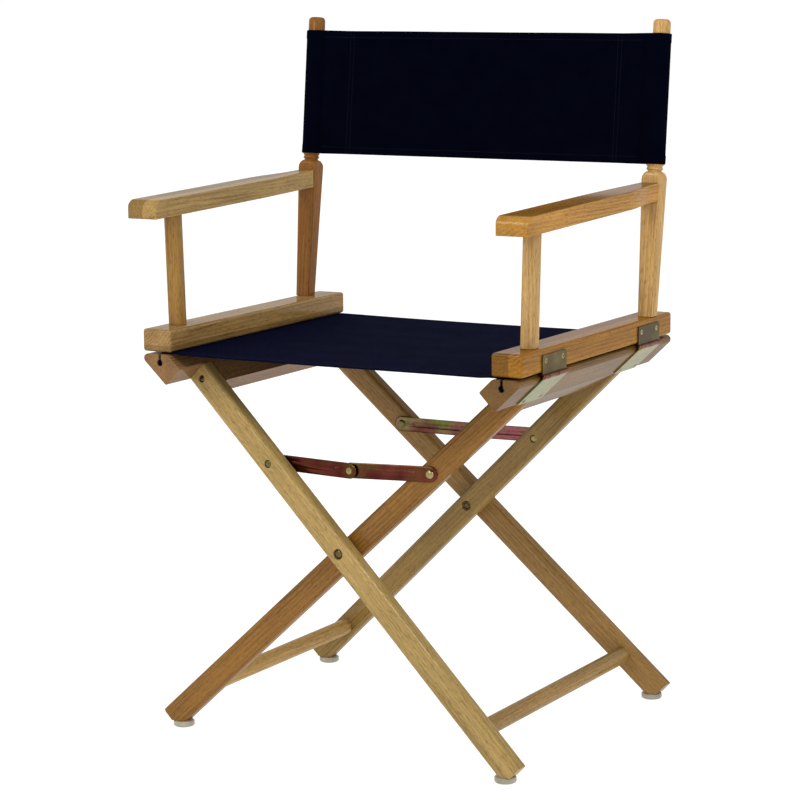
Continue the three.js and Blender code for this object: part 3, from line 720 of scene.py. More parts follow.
def make_back_post(side):
    """Square below, with rounded shoulders, a turned neck, a ring and a round top that bellies slightly."""
    node = f"back_post_{side}"
    low, high = span(node)
    bottom = span(f"arm_rail_{side}")[1].z
    height = (high.z - bottom) / math.cos(LEAN) - 1.2
    square, corner = 12.75, 3.6
    stations = [(-4, 10, 4.6), (60, 10.95, 4.3), (120, 11.9, 3.9)]  # height, half the width, corner radius
    stations.append((SHOULDER - SHOULDER_RISE, square, corner))
    for k in range(1, 7):
        angle = math.radians(90 * k / 6)
        half = NECK_RADIUS + (square - NECK_RADIUS) * math.cos(angle)
        stations.append((SHOULDER + SHOULDER_RISE * (math.sin(angle) - 1), half,
                         corner + (half - corner) * (k / 6) ** 1.5))
    ring = ((1.6, NECK_RADIUS), (2.1, 9.9), (3.0, 10.5), (4.0, 10.3), (4.8, 9.5), (6.0, 9.4), (7.2, 10.5))
    turned = [(SHOULDER + up, radius) for up, radius in ring]
    for share in (k / 8 for k in range(9)):
        turned.append((SHOULDER + 8 + (height - SHOULDER - 13) * share,
                       DOWEL_RADIUS + 0.35 * math.sin(math.pi * share)))
    for angle in (math.radians(v) for v in (12, 28, 46, 64, 80, 90)):
        turned.append((height + CROWN_RADIUS * (math.sin(angle) - 1),
                       DOWEL_RADIUS + CROWN_RADIUS * (math.cos(angle) - 1)))
    stations += [(z, radius, radius) for z, radius in turned]
    loops = [[(x, y, z) for x, y in rounded_square(half, corner)] for z, half, corner in stations]
    place = Matrix.Translation(((high.x + low.x) / 2, POST_FOOT_Y, bottom)) @ Matrix.Rotation(-LEAN, 4, "X")
    bm = rings(loops)
    bm.transform(place)
    shave(bm, (0, 0, bottom + GAP), (0, 0, -1))
    piece = soften(finish_mesh(bm, node), 0.3, 2, 50)
    wooden(piece, node, place.to_3x3().col[2], (1, 0, 0), 1.0, (30, 48))


def bezier(p0, p1, p2, p3, steps):
    """Points of a cubic curve, without its first."""
    points = []
    for k in range(1, steps + 1):
        t = k / steps
        s = 1 - t
        points.append(tuple(s ** 3 * a + 3 * s * s * t * b + 3 * s * t * t * c + t ** 3 * d
                            for a, b, c, d in zip(p0, p1, p2, p3)))
    return points


NOSE_RADIUS = 13.5


def make_arm_rest(side):
    """From above it narrows behind the elbow to meet the back post; its nose is a quarter round."""
    node = f"arm_rest_{side}"
    low, high = span(node)
    bottom, top = REST_BOTTOM, REST_TOP
    inner, outer = (low.x, high.x) if SIDES[side] > 0 else (-high.x, -low.x)
    post_low, post_high = span(f"back_post_{side}")
    post = abs(post_low.x + post_high.x) / 2
    narrow, end = 11.8, high.y - 0.4
    corners = rounded([(inner, low.y, 3), (outer, low.y, 3), (outer, 40, 0), (inner, 40, 0)], 5)
    plan = [p for p in corners if p.y < 30] + [(outer - 1, 50)]
    plan += bezier((outer - 1, 50), (outer - 1.5, 95), (post + narrow, 100), (post + narrow, 148), 14)
    plan += [(post + narrow, end), (post - narrow, end)]
    plan += bezier((post - narrow, end), (post - narrow, 130), (inner + 3.4, 90), (inner + 1.4, 20), 8)
    piece = finish_mesh(prism([(SIDES[side] * x, y) for x, y in plan], bottom, top), node)
    nose, nose_z = low.y + NOSE_RADIUS, top - NOSE_RADIUS
    outline = [(low.y - 30, bottom - 30), (nose, bottom - 30), (nose, top + 0.01), (low.y - 30, top + 0.01)]
    block = finish_mesh(prism(outline, -400, 400), "tool", FROM_SIDE)
    keep = [(low.y + 60, bottom - 40), (low.y + 60, top)]
    keep += arc((nose, nose_z), NOSE_RADIUS, 90, 180, 10) + [(low.y, bottom - 40)]
    carve(block, [finish_mesh(prism(keep, -500, 500), "tool", FROM_SIDE)])
    carve(piece, [block])
    soften(piece, 2.0, 4, 30)
    lift = Matrix.Identity(4)
    lift[2][1] = REST_SLOPE
    lift[2][3] = -REST_SLOPE * REST_LEVEL_Y * MM
    piece.data.transform(lift)
    # The left rest's second shade is a glued strip; the right rest's covers its top face and is a painted dark
    # reflection, making the top darker than the sides.
    glued_and_shaded = {"left": ((-1, 0, 0), 246, 0.82),
             "right": ((0, -REST_SLOPE, 1), top - 0.6 - REST_SLOPE * REST_LEVEL_Y, 0.78)}[side]
    wooden(piece, node, (0, 1, 0), (1, 0, 0), 1.2, (18, 70), 3.6, glued_and_shaded)


for side_name in SIDES:
    make_arm_rail(side_name)
    make_front_post(side_name)
    make_back_post(side_name)
    make_arm_rest(side_name)

# ---------------------------------------------------------------- pivots, stays and screws
NUT_RADIUS = 6.2  # to its corners
LINK_SIDE = {"outer": -1, "inner": 1}  # from the leg to its link, along the leg's local y
LINK_STANDOFF = 1.0
LINK_SHEET = 1.4
LINK_HALF_WIDTH = 9.5
LINK_HOLE = 3.1
STAY_MIDDLE_HEIGHT = 337.9
PIN_RADIUS = 2.8


def towards_end(at, flip):
    """Local z towards the chair's front, or its rear where flip is -1."""
    return mirror(1, flip) @ basis((1, 0, 0), (0, 0, 1), (0, -1, 0), at)


def dome(radius, base, height, steps=7):
    """Profile of a low dome, from its rim to its crown."""
    angles = [math.radians(86 * k / steps) for k in range(steps + 1)]
    return [(radius * math.cos(a), base + height * math.sin(a)) for a in angles]


def make_pivot(end):
    place = towards_end((0, 0, PIVOT_HEIGHT), ENDS[end])
    low, high = span("pivot_bolt_front")
    tip, head = -high.y, -low.y
    shank, cap = PIVOT_HOLE - GAP, 5.6
    profile = [(shank - 1, tip), (shank, tip + 0.9), (shank, head - 3.1), (cap - 0.2, head - 3.1),
               (cap, head - 2.8)] + dome(cap, head - 2.5, 2.5)
    bolt = finish_mesh(lathe(profile, 40), "bolt", place)
    steel(bolt, f"pivot_bolt_{end}", BOLT_STEEL)

    low, high = span("pivot_nut_front")
    base, face = -high.y, -low.y
    nut = finish_mesh(prism(arc((0, 0), NUT_RADIUS, 0, 300, 5), base, face), "nut", place)
    hole = finish_mesh(lathe([(4.7, base - 1), (4.2, base + 0.5), (4.2, face + 1)]), "tool", place)
    carve(nut, [hole])
    soften(nut, 0.45)
    steel(nut, f"pivot_nut_{end}", BOLT_STEEL)

    low, high = span("pivot_spacer_front")
    inside, outside, near, far = PIVOT_HOLE, (high.x - low.x) / 2, -high.y, -low.y
    washer = [(inside, near), (outside - 0.6, near), (outside, near + 0.6), (outside, far - 0.6),
              (outside - 0.6, far), (inside, far)]
    spacer = finish_mesh(lathe(washer, 40, hollow=True), "spacer", place)
    soften(spacer, 0.15, 2)
    steel(spacer, f"pivot_spacer_{end}", BOLT_STEEL)


def make_stay_pin(name, end):
    """Pin through a leg and its link: a recessed head, a shoulder and a riveted dome."""
    side = LINK_SIDE[name]
    face = LEG_THICKNESS / 2
    near, far = face + LINK_STANDOFF, face + LINK_STANDOFF + LINK_SHEET + GAP
    head = [(2.4, 0.4 - face), (4.3, 1.3 - face), (4.5, 2.0 - face), (4.5, 2.6 - face)]
    shoulder = [(PIN_RADIUS, 2.6 - face), (PIN_RADIUS, face + GAP), (4.9, face + GAP), (4.9, near - 0.2)]
    shank = [(PIN_RADIUS, near - 0.2), (PIN_RADIUS, far)]
    profile = head + shoulder + shank + [(5.0, far), (5.2, far + 0.25)] + dome(5.1, far + 0.35, 1.75)
    turn = basis((1, 0, 0), (0, 0, -side), (0, side, 0), (0, 0, STAY_PIN_ALONG * LEG_STRETCH))
    place = leg_frame(name, end) @ turn
    pin = soften(finish_mesh(lathe(profile, 36), "pin", place), 0.12, 2)
    # The outer pins, whose heads sit sunk in the legs, take the darker steel: painted shade in the recesses; the
    # inner pins, whose domes face out, take the brighter steel: a painted highlight.
    steel(pin, f"stay_pin_{name}_{end}", BOLT_STEEL if name == "outer" else BRIGHT_STEEL)


def link_place(name):
    """Local x from the leg's pin to the stay's middle and local z out of the chair; and the length."""
    leg = leg_place(name)
    out = leg.to_3x3().col[1].copy()
    reach = LINK_SIDE[name] * (LEG_THICKNESS / 2 + LINK_STANDOFF + LINK_SHEET / 2)
    pin = leg @ Vector((0, reach, STAY_PIN_ALONG * LEG_STRETCH))
    run = Vector((-pin.x, 0, STAY_MIDDLE_HEIGHT - pin.z))
    run.y = -(out.x * run.x + out.z * run.z) / out.y
    length = run.length
    run.normalize()
    return basis(run, out.cross(run), out, pin), length


def mound(base, radius=3.4, height=0.85):
    """Profile of the link's pressed rib."""
    return [(radius, base - 0.5)] + [(radius * (1 - k / 8) + 0.12, base + height * (1 - (1 - k / 8) ** 2))
                                     for k in range(9)]


def make_link(name, end):
    """Pressed steel link: round ends, edges rolled back and a rib down its middle."""
    place, length = link_place(name)
    half, wide = LINK_SHEET / 2, LINK_HALF_WIDTH
    rolled_edge = ((2.4, -half - 0.05), (0.9, -half - 0.3), (0.25, -half - 0.42), (0, -half - 0.15),
                   (0.1, -0.2), (0.8, half - 0.35), (1.8, half - 0.1), (3, half))
    profile = [(3.6, -half)] + [(wide - inward, z) for inward, z in rolled_edge] + [(3.6, half)]
    side = leg_side(name, end) @ place
    link = finish_mesh(lathe(profile, 48, reach=length), "link", side)
    rib_start = length * 0.2
    for base, operation in ((half, "UNION"), (-half, "DIFFERENCE")):
        rib = lathe(mound(base), 48, reach=length - 2 * rib_start)
        carve(link, [finish_mesh(rib, "tool", side @ Matrix.Translation((rib_start, 0, 0)))], operation)
    carve(link, [rod(LINK_HOLE, side @ Vector((x, 0, -4)), side @ Vector((x, 0, 4))) for x in (0, length)])
    soften(link, 0.12, 2, 50)
    steel(link, f"stay_link_{name}_{end}", STAY_STEEL if end == "front" else PALE_STAY_STEEL)


def make_rivet(name, end):
    """Half of the rivet between the links: a low dome outside and a boss that meets the other half."""
    place, length = link_place(name)
    half = LINK_SHEET / 2
    flip = -LINK_SIDE[name]  # the dome is on the side that faces the link's own leg
    boss = [(4.4, -half - 1.3), (4.6, -half - 1.1), (4.6, -half - 0.3), (4.4, -half - 0.15)]
    shank = [(PIN_RADIUS, -half - 0.1), (PIN_RADIUS, half + 0.05)]
    profile = boss + shank + [(4.0, half + 0.05), (4.15, half + 0.2)] + dome(4.1, half + 0.25, 0.55)
    turn = Matrix.Translation((length, 0, 0)) @ Matrix.Diagonal((1, flip, flip, 1))
    side = leg_side(name, end) @ place @ turn
    rivet = soften(finish_mesh(lathe(profile, 36), "rivet", side), 0.1, 2)
    steel(rivet, f"stay_rivet_{name}_{end}", BRIGHT_STEEL)


def cross_head(profile, top, place):
    """A screw from its profile, with a cross recess in its head."""
    screw = finish_mesh(lathe(profile, 36), "screw", place)
    tools = []
    for a, b in ((1.7, 0.4), (0.4, 1.7)):
        slot = rounded(box_corners(-a, -b, a, b, 0.2), 2)
        tools.append(finish_mesh(prism(slot, top - 0.9, top + 2), "tool", place))
    return soften(carve(screw, tools), 0.1, 2)


def make_leg_screw(name, end):
    face = LEG_THICKNESS / 2
    top = face - 0.5
    profile = [(0.4, -28), (2.1, -24), (2.1, face - 2.6), (4.1, face - 2.4)] + dome(4.1, face - 2.1, 1.6)
    height = (LEG_ABOVE_PIVOT - LEG_SCREW_BELOW_TOP) * LEG_STRETCH
    turn = basis((1, 0, 0), (0, 0, -1), (0, 1, 0), (0, 0, height))
    place = leg_frame(name, end) @ turn
    screw = cross_head(profile, top, place)
    steel(screw, f"leg_screw_{name}_{end}", BOLT_STEEL)


for frame_name in MIRRORS:
    for end_name in ENDS:
        make_stay_pin(frame_name, end_name)
        make_link(frame_name, end_name)
        make_rivet(frame_name, end_name)
        make_leg_screw(frame_name, end_name)
for end_name in ENDS:
    make_pivot(end_name)

# ---------------------------------------------------------------- hinges, drawn at the front right
HINGE_WIDTH = 62
HINGE_CENTRE = -132
HINGE_SHEET = 1.4
KNUCKLE = 2.7
KNUCKLE_BORE = 1.5
KNUCKLE_GAP = 0.15  # at each end of a knuckle
SCREW_SPREAD = 22  # from the hinge's middle
LEAF_CORNER = 2.2
SCREW_HEAD = 3.3
ARM_KNUCKLES = (1, 3)
RAIL_KNUCKLES = (0, 2, 4)


def knuckle_span(index):
    pitch = HINGE_WIDTH / 5
    start = HINGE_CENTRE - HINGE_WIDTH / 2 + index * pitch
    return start + KNUCKLE_GAP, start + pitch - KNUCKLE_GAP


def hinge_rod(radius, y0, y1, side):
    start, end = (side @ Vector((HINGE_X, y, HINGE_Z)) for y in (y0, y1))
    return rod(radius, start, end, segments=28)


def make_leaf(node, place, low, high, near, own, other, screw_at, side, material, screw_material):
    """Flat leaf in a local frame: along the hinge, up the leaf and out of the wood.

    It is rounded at the two corners by its screws. own and other number the knuckles of the two leaves.
    """
    y0, y1 = HINGE_CENTRE - HINGE_WIDTH / 2, HINGE_CENTRE + HINGE_WIDTH / 2
    at_low = LEAF_CORNER if screw_at < (low + high) / 2 else 0
    at_high = LEAF_CORNER - at_low
    outline = rounded([(y0, low, at_low), (y1, low, at_low), (y1, high, at_high), (y0, high, at_high)], 4)
    leaf = finish_mesh(prism(outline, near, near + HINGE_SHEET), "leaf", side @ place)
    notches = [(start - GAP, end + GAP) for start, end in map(knuckle_span, other)]
    carve(leaf, [hinge_rod(KNUCKLE + GAP, *notch, side) for notch in notches])
    carve(leaf, [hinge_rod(KNUCKLE, *knuckle_span(i), side) for i in own], "UNION")
    carve(leaf, [hinge_rod(KNUCKLE_BORE, y0 - 3, y1 + 3, side)])
    places = [side @ place @ Matrix.Translation((HINGE_CENTRE + shift, screw_at, near + HINGE_SHEET))
              for shift in (-SCREW_SPREAD, SCREW_SPREAD)]
    cone = [(1.8, -3), (1.9, -1.6), (SCREW_HEAD + 0.15, -0.1), (SCREW_HEAD + 0.3, 2)]
    carve(leaf, [finish_mesh(lathe(cone, 36), "tool", at) for at in places])
    soften(leaf, 0.22, 2)
    steel(leaf, node, material)
    profile = [(0.3, -14), (1.4, -11), (1.4, -1.9), (SCREW_HEAD - 0.3, -0.35)] + dome(SCREW_HEAD, -0.2, 0.55)
    for number, at in enumerate(places, 1):
        screw = cross_head(profile, 0.3, at @ Matrix.Rotation(0.5 + number * 1.1, 4, "Z"))
        screw.name = f"{node.replace('leaf', 'screw')}_{number}"
        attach(screw, BODY_OF[node])
        dress(screw, screw_material)


def make_hinge(side_name, end_name):
    side = mirror(SIDES[side_name], ENDS[end_name])
    ending = f"{side_name}_{end_name}"
    arm_low, arm_high = span("hinge_arm_leaf_right_front")
    make_leaf(f"hinge_arm_leaf_{ending}", FROM_SIDE, HINGE_Z, arm_high.z, arm_low.x, ARM_KNUCKLES,
              RAIL_KNUCKLES, arm_high.z - 7, side, ARM_LEAF_STEEL, BRIGHT_STEEL)
    rail_place = basis((0, 1, 0), ALONG, -ACROSS, (0, 0, PIVOT_HEIGHT))
    near = LEG_WIDTH / 2 + GAP
    bottom = LEG_ABOVE_PIVOT + 2
    top = (HINGE_Z - PIVOT_HEIGHT + ACROSS.z * near) / ALONG.z
    make_leaf(f"hinge_rail_leaf_{ending}", rail_place, bottom, top, near, RAIL_KNUCKLES, ARM_KNUCKLES,
              bottom + 6, side, RAIL_LEAF_STEEL, DARK_STEEL)
    low, high = span("hinge_pin_right_front")
    head, pin = KNUCKLE - 0.3, 1.2
    end = HINGE_WIDTH / 2 + GAP
    half = (high.y - low.y) / 2
    upper = [(pin, end), (head, end), (head, end + 0.4), (head - 0.5, half - 0.3), (0.6, half)]
    profile = [(radius, -z) for radius, z in upper[::-1]] + upper
    place = side @ along_y((HINGE_X, HINGE_CENTRE, HINGE_Z))
    piece = soften(finish_mesh(lathe(profile, 28), "pin", place), 0.15, 2)
    steel(piece, f"hinge_pin_{ending}", KNUCKLE_STEEL)


for side_name in SIDES:
    for end_name in ENDS:
        make_hinge(side_name, end_name)

# ---------------------------------------------------------------- canvas
CLOTH = 1.1  # thickness
STITCH_PITCH = 3.9
STITCH_LENGTH = 3.0
THREAD_RADIUS = 0.3
SUNK = 0.1  # how deep the threads' ends go into the cloth


def smooth(value, start, end):
    t = min(1.0, max(0.0, (value - start) / (end - start)))
    return t * t * (3 - 2 * t)


def graded(start, end, step, fine):
    """Stations from start to end: one every step, and the fine ones."""
    count = max(1, round((end - start) / step))
    even = [start + (end - start) * k / count for k in range(count + 1)]
    kept = [value for value in even
            if value in (start, end) or all(abs(value - f) > 0.3 * step for f in fine)]
    return sorted(set(kept + list(fine)))


def skin(grid, cloth, name, place=None):
    """Closed mesh from rows that are closed loops; cloth gives each point's place on the flat cloth."""
    bm = bmesh.new()
    layer = bm.loops.layers.uv.new("cloth")
    made = [[bm.verts.new(p) for p in row] for row in grid]
    flat = {v: c for row, marks in zip(made, cloth) for v, c in zip(row, marks)}
    for a, b in zip(made, made[1:]):
        for i in range(len(a)):
            bm.faces.new((a[i - 1], a[i], b[i], b[i - 1]))
    bm.faces.new(made[0][::-1])
    bm.faces.new(made[-1])
    for face in bm.faces:
        for loop in face.loops:
            u, v = flat[loop.vert]
            loop[layer].uv = (u * MM, v * MM)
    return finish_mesh(bm, name, place)


def stitch_starts(start, end):
    """Where the stitches of a row between two places start."""
    at = start
    while at < end - STITCH_LENGTH:
        yield at
        at += STITCH_PITCH


def stitch_row(points, normals, name, place=None):
    """Short arched threads: points are the stitches' two ends, and normals point out of the cloth."""
    bm = bmesh.new()
    sides = 7
    profile = [(0.3, 0), (0.8, 0.12), (1, 0.3), (1, 0.7), (0.8, 0.88), (0.3, 1)]
    for (start, end), normal in zip(points, normals):
        start, end = Vector(start), Vector(end)
        line = end - start
        z = line.normalized()
        x = (Vector(normal) - z * z.dot(Vector(normal))).normalized()
        y = z.cross(x)
        loops = []
        for radius, share in profile:
            bulge = x * (0.22 * math.sin(math.pi * share) - 0.1)
            middle = start + line * share + bulge
            loops.append([bm.verts.new(middle + (x * math.cos(a) + y * math.sin(a)) * radius * THREAD_RADIUS)
                          for a in (2 * math.pi * k / sides for k in range(sides))])
        for a, b in zip(loops, loops[1:]):
            for i in range(sides):
                bm.faces.new((a[i - 1], a[i], b[i], b[i - 1]))
        bm.faces.new(loops[0][::-1])
        bm.faces.new(loops[-1])
    return finish_mesh(bm, name, place)


# Seat: over both rails, down a slot in each and round a dowel
SEAT_LOW, SEAT_HIGH = span("seat_canvas")
DOWEL_LOW, DOWEL_HIGH = span("seat_dowel_right")
GROOVE_X = (DOWEL_LOW.x + DOWEL_HIGH.x) / 2
GROOVE_Z = (DOWEL_LOW.z + DOWEL_HIGH.z) / 2
SEAT_HEIGHT = SEAT_HIGH.z - CLOTH / 2
SEAT_FREE = 212  # half the width between the rails' top edges
SEAT_SAG = 3.0
SEAT_HEM = 12
SEAT_ROWS = (9.5,)  # of stitches, in from the front and the rear
SEAT_RUN_OUT = 3.4  # how much further the cloth goes in the grooves
DOWEL_WRAP = 3.4  # radius of the cloth round a dowel
LIP_WRAP = 2.6  # and over a groove's lip


def seat_path():
    """Points (x, z) along the middle of the cloth's right half, from the chair's middle out."""
    points = [(x, SEAT_HEIGHT) for x in graded(0, GROOVE_X - 2.3, 9, (SEAT_FREE,))]  # over the rail
    bend = (GROOVE_X - 2.1, SEAT_HEIGHT - LIP_WRAP)
    points += arc(bend, LIP_WRAP, 75, 15, 3)
    points += [(GROOVE_X + 0.75, GROOVE_Z + 5.5)]
    points += arc((GROOVE_X, GROOVE_Z), DOWEL_WRAP, 78, -258, 24)
    points += [(GROOVE_X - 0.85, GROOVE_Z + 5.2), (GROOVE_X - 0.85, GROOVE_Z + 8.6)]
    return points


def seat_dip(x, y):
    """How far the seat hangs below the rails' tops."""
    across = max(0.0, 1 - (x / SEAT_FREE) ** 2)
    depth = 1 - ((y + 3) / 206) ** 2
    ripple = 0.35 * math.sin(y / 19 + x / 210) + 0.28 * math.sin(y / 11.5 - x / 160 + 1.3)
    ripple += 0.22 * math.sin(y / 33 + x / 95 + 0.6)
    return across * (1.3 + SEAT_SAG * depth) - ripple * min(1, across * 1.6)


def seat_point(x, z, y, offset, normal):
    """In the grooves the cloth runs out a little further, nearly to the ends of the rails."""
    top = z - (seat_dip(x, y) if abs(x) < SEAT_FREE else 0)
    run_out = SEAT_RUN_OUT * smooth(SEAT_HEIGHT - z, 0.2, 3) * smooth(abs(y), 170, 200)
    return (x + normal[0] * offset, y + math.copysign(run_out, y), top + normal[1] * offset)


def make_seat():
    """The cloth, and its length from one hem to the other."""
    half = seat_path()
    path = [(-x, z) for x, z in half[:0:-1]] + half
    count = len(path)
    run = [0.0]
    for (xa, za), (xb, zb) in zip(path, path[1:]):
        run.append(run[-1] + math.hypot(xb - xa, zb - za))
    normals = []
    for i in range(count):
        (xa, za), (xb, zb) = path[max(0, i - 1)], path[min(count - 1, i + 1)]
        length = math.hypot(xb - xa, zb - za)
        normals.append((-(zb - za) / length, (xb - xa) / length))
    ends = (SEAT_LOW.y, SEAT_HIGH.y)
    fine = []
    fold = (0, 0.12, 0.35, 0.75, 1.4, SEAT_HEM - 0.8, SEAT_HEM, SEAT_HEM + 0.8)
    for end, inward in zip(ends, (1, -1)):
        fine += [end + inward * step for step in fold]
        fine += [end + inward * (row + step) for row in SEAT_ROWS for step in (-1.3, -0.6, 0, 0.6, 1.3)]
    grid, cloth = [], []
    for y in graded(*ends, 7, fine):
        margin = min(y - ends[0], ends[1] - y)
        edge = math.sqrt(min(1.0, max(0.004, margin / 0.75)))
        hem = 1 - smooth(margin, SEAT_HEM - 0.5, SEAT_HEM + 0.5)
        groove = 0.2 * sum(math.exp(-((margin - row) / 0.55) ** 2) for row in SEAT_ROWS)
        upper = [seat_point(x, z, y, (CLOTH / 2 - groove * (abs(x) < SEAT_FREE)) * edge, n)
                 for (x, z), n in zip(path, normals)]
        lower = [seat_point(x, z, y, -(CLOTH / 2 + 0.85 * hem * (abs(x) < SEAT_FREE)) * edge, n)
                 for (x, z), n in zip(path, normals)]
        grid.append(upper + lower[::-1])
        cloth.append([(r, y) for r in run] + [(r, y) for r in run[::-1]])
    return skin(grid, cloth, "canvas_seat"), run[-1]


def seat_stitches():
    pairs, ups = [], []
    for end, inward in ((SEAT_LOW.y, 1), (SEAT_HIGH.y, -1)):
        for row in SEAT_ROWS:
            y = end + inward * row
            for x in stitch_starts(-SEAT_FREE + 1, SEAT_FREE):
                pairs.append([(v, y, SEAT_HEIGHT - seat_dip(v, y) + CLOTH / 2 - SUNK)
                              for v in (x, x + STITCH_LENGTH)])
                ups.append((0, 0, 1))
    return stitch_row(pairs, ups, "seat_stitching")


def make_seat_pieces():
    seat, length = make_seat()
    stitching = seat_stitches()
    for piece, material in ((seat, SEAT_CANVAS), (stitching, SEAT_THREAD)):
        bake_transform(piece)
        dress(piece, material)
    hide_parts("seat_canvas")
    for side, sign in SIDES.items():
        node = f"seat_dowel_{side}"
        low, high = span(node)
        radius = (high.x - low.x) / 2
        profile = [(radius - 0.8, low.y), (radius, low.y + 0.8), (radius, 0), (radius, high.y - 0.8),
                   (radius - 0.8, high.y)]
        dowel = finish_mesh(lathe(profile, 28), node, along_y((sign * GROOVE_X, 0, GROOVE_Z)))
        wooden(soften(dowel, 0.2, 2), node, (0, 1, 0), (1, 0, 0), 0.7)


make_seat_pieces()

# Back: one panel between the posts, sewn into a sleeve round each
POST_FOOT = Vector((0, POST_FOOT_Y, span("arm_rail_right")[1].z))
BACK_PLACE = Matrix.Translation(POST_FOOT) @ Matrix.Rotation(-LEAN, 4, "X")
BACK_BOTTOM = 686
BACK_TOP = 845
BACK_FROM = (BACK_BOTTOM - POST_FOOT.z) / math.cos(LEAN)  # the same, up along the posts
BACK_TO = (BACK_TOP - POST_FOOT.z) / math.cos(LEAN)
POST_X = 246
SLEEVE = 12.4  # outer radius
SEAM = 197  # where the panel and the sleeve part, off the chair's middle
SEAM_ROWS = (193.6, 188.4)
SPLIT = 228  # where the panel ends and the sleeve's tube begins
SLEEVE_LAP = 1.3  # the sleeve's turned end behind the panel
BACK_HEM = 11
BACK_HEM_ROW = 8.6
HEM_BULGE = 0.45
WEDGE_START = 0.9  # half the thickness where the sleeve's two layers part
WEDGE_REACH = math.hypot(POST_X - SEAM, WEDGE_START)
WEDGE_ANGLE = math.asin(SLEEVE / WEDGE_REACH) - math.atan2(WEDGE_START, POST_X - SEAM)
WEDGE_SLOPE = math.tan(WEDGE_ANGLE)
SLEEVE_RUN = (POST_X - SLEEVE * math.sin(WEDGE_ANGLE) - SPLIT) / math.cos(WEDGE_ANGLE)


def back_margin(w):
    """How far in from the back's upper or lower edge."""
    return min(w - BACK_FROM, BACK_TO - w)


def hem_share(w):
    return 1 - smooth(back_margin(w), BACK_HEM - 0.6, BACK_HEM + 0.6)


def hem_groove(w):
    return 0.22 * math.exp(-((back_margin(w) - BACK_HEM_ROW) / 0.6) ** 2)


def seam_groove(x):
    return 0.22 * sum(math.exp(-((abs(x) - row) / 0.55) ** 2) for row in SEAM_ROWS)


def edge_pull(w):
    """How far the cloth's faces close in at its folded edges."""
    return 0.5 * (1 - math.sqrt(min(1.0, max(0.0, back_margin(w) / 0.8))))


def panel_wave(x, w):
    """Slack of the panel between the seams, towards the front where negative."""
    inside = max(0.0, 1 - (x / SEAM) ** 2)
    share = (w - BACK_FROM) / (BACK_TO - BACK_FROM)
    wave = 1.1 * math.sin(x / 37 + 1.1 * share) + 0.7 * math.sin(x / 21 - 2.3 * share + 0.8)
    pucker = 0.22 * math.sin(w / 2.3) * math.exp(-((abs(x) - SEAM) / 7) ** 2)
    return inside ** 0.5 * wave + pucker


def back_rows():
    fine = []
    fold = (0, 0.1, 0.3, 0.8, BACK_HEM - 0.8, BACK_HEM, BACK_HEM + 0.8)
    for edge, inward in ((BACK_FROM, 1), (BACK_TO, -1)):
        fine += [edge + inward * step for step in fold]
        fine += [edge + inward * (BACK_HEM_ROW + step) for step in (-1.2, -0.6, 0, 0.6, 1.2)]
    return graded(BACK_FROM, BACK_TO, 4, fine)


def wedge(x):
    """Half the thickness of the sleeve between its seam and the post."""
    return WEDGE_START + max(0.0, abs(x) - SEAM) * WEDGE_SLOPE


def pocket_depth(x):
    """Half the hollow between the sleeve's two layers."""
    return max(0.12, wedge(x) - CLOTH * 1.03)


def make_back_panel():
    """From above, it parts into two layers beyond each seam, where the sleeve starts."""
    marks = [row + step for row in SEAM_ROWS for step in (-0.9, 0, 0.9)] + [SEAM, SEAM - 10.5, SEAM - 11.5]
    columns = graded(-SPLIT, SPLIT, 7, [sign * mark for sign in (-1, 1) for mark in marks])
    pocket = (SEAM + 2.4, 207, 217, SPLIT)
    grid, cloth = [], []
    for w in back_rows():
        pull, hem = edge_pull(w), HEM_BULGE * hem_share(w)
        points = []
        for x in columns:
            base = CLOTH / 2 if abs(x) < SEAM else wedge(x)
            points.append((x, -(base + hem - pull - seam_groove(x) - hem_groove(w))))
        points += [(x, -pocket_depth(x) - pull) for x in pocket[::-1]]
        points += [(x, pocket_depth(x) + pull) for x in pocket]
        for x in columns[::-1]:
            lap = SLEEVE_LAP * smooth(abs(x), SEAM - 11.4, SEAM - 10.6)
            base = CLOTH / 2 + lap if abs(x) < SEAM else max(wedge(x), CLOTH / 2 + SLEEVE_LAP)
            points.append((x, base + hem - pull - 0.6 * seam_groove(x)))
        points += [(-x, pocket_depth(x) + pull) for x in pocket[::-1]]
        points += [(-x, -pocket_depth(x) - pull) for x in pocket]
        grid.append([(x, depth + panel_wave(x, w), w) for x, depth in points])
        cloth.append([(x, w) for x, depth in points])
    return skin(grid, cloth, "canvas_back_panel", BACK_PLACE)


def make_sleeve(side):
    """The tube of cloth round one post, from one cut edge of the panel to the other."""
    sign = SIDES[side]
    grid, cloth = [], []
    steps = 32
    wrap = math.pi + 2 * WEDGE_ANGLE
    angles = [wrap * (k / steps - 0.5) for k in range(steps + 1)]
    run = [SPLIT + SLEEVE_RUN + SLEEVE * (angle - angles[0]) for angle in angles]
    marks = [SPLIT] + run + [run[-1] + SLEEVE_RUN] * 2 + run[::-1] + [SPLIT]
    for w in back_rows():
        pull, hem = edge_pull(w), HEM_BULGE * hem_share(w)
        outer = []
        for angle in angles:
            pucker = 0.12 * math.sin(w / 3.1 + 3 * angle)
            radius = SLEEVE + hem - pull + pucker * hem_share(w)
            outer.append((POST_X + radius * math.cos(angle), radius * math.sin(angle)))
        radius = SLEEVE - CLOTH + pull
        inner = [(POST_X + radius * math.cos(angle), radius * math.sin(angle)) for angle in angles]
        end = wedge(SPLIT) + hem - pull
        inner_end = pocket_depth(SPLIT) + pull
        loop = [(SPLIT, -end)] + outer + [(SPLIT, end), (SPLIT, inner_end)] + inner[::-1]
        loop.append((SPLIT, -inner_end))
        grid.append([(sign * x, depth, w) for x, depth in loop])
        cloth.append([(sign * mark, w) for mark in marks])
    return skin(grid, cloth, f"canvas_back_sleeve_{side}", BACK_PLACE)


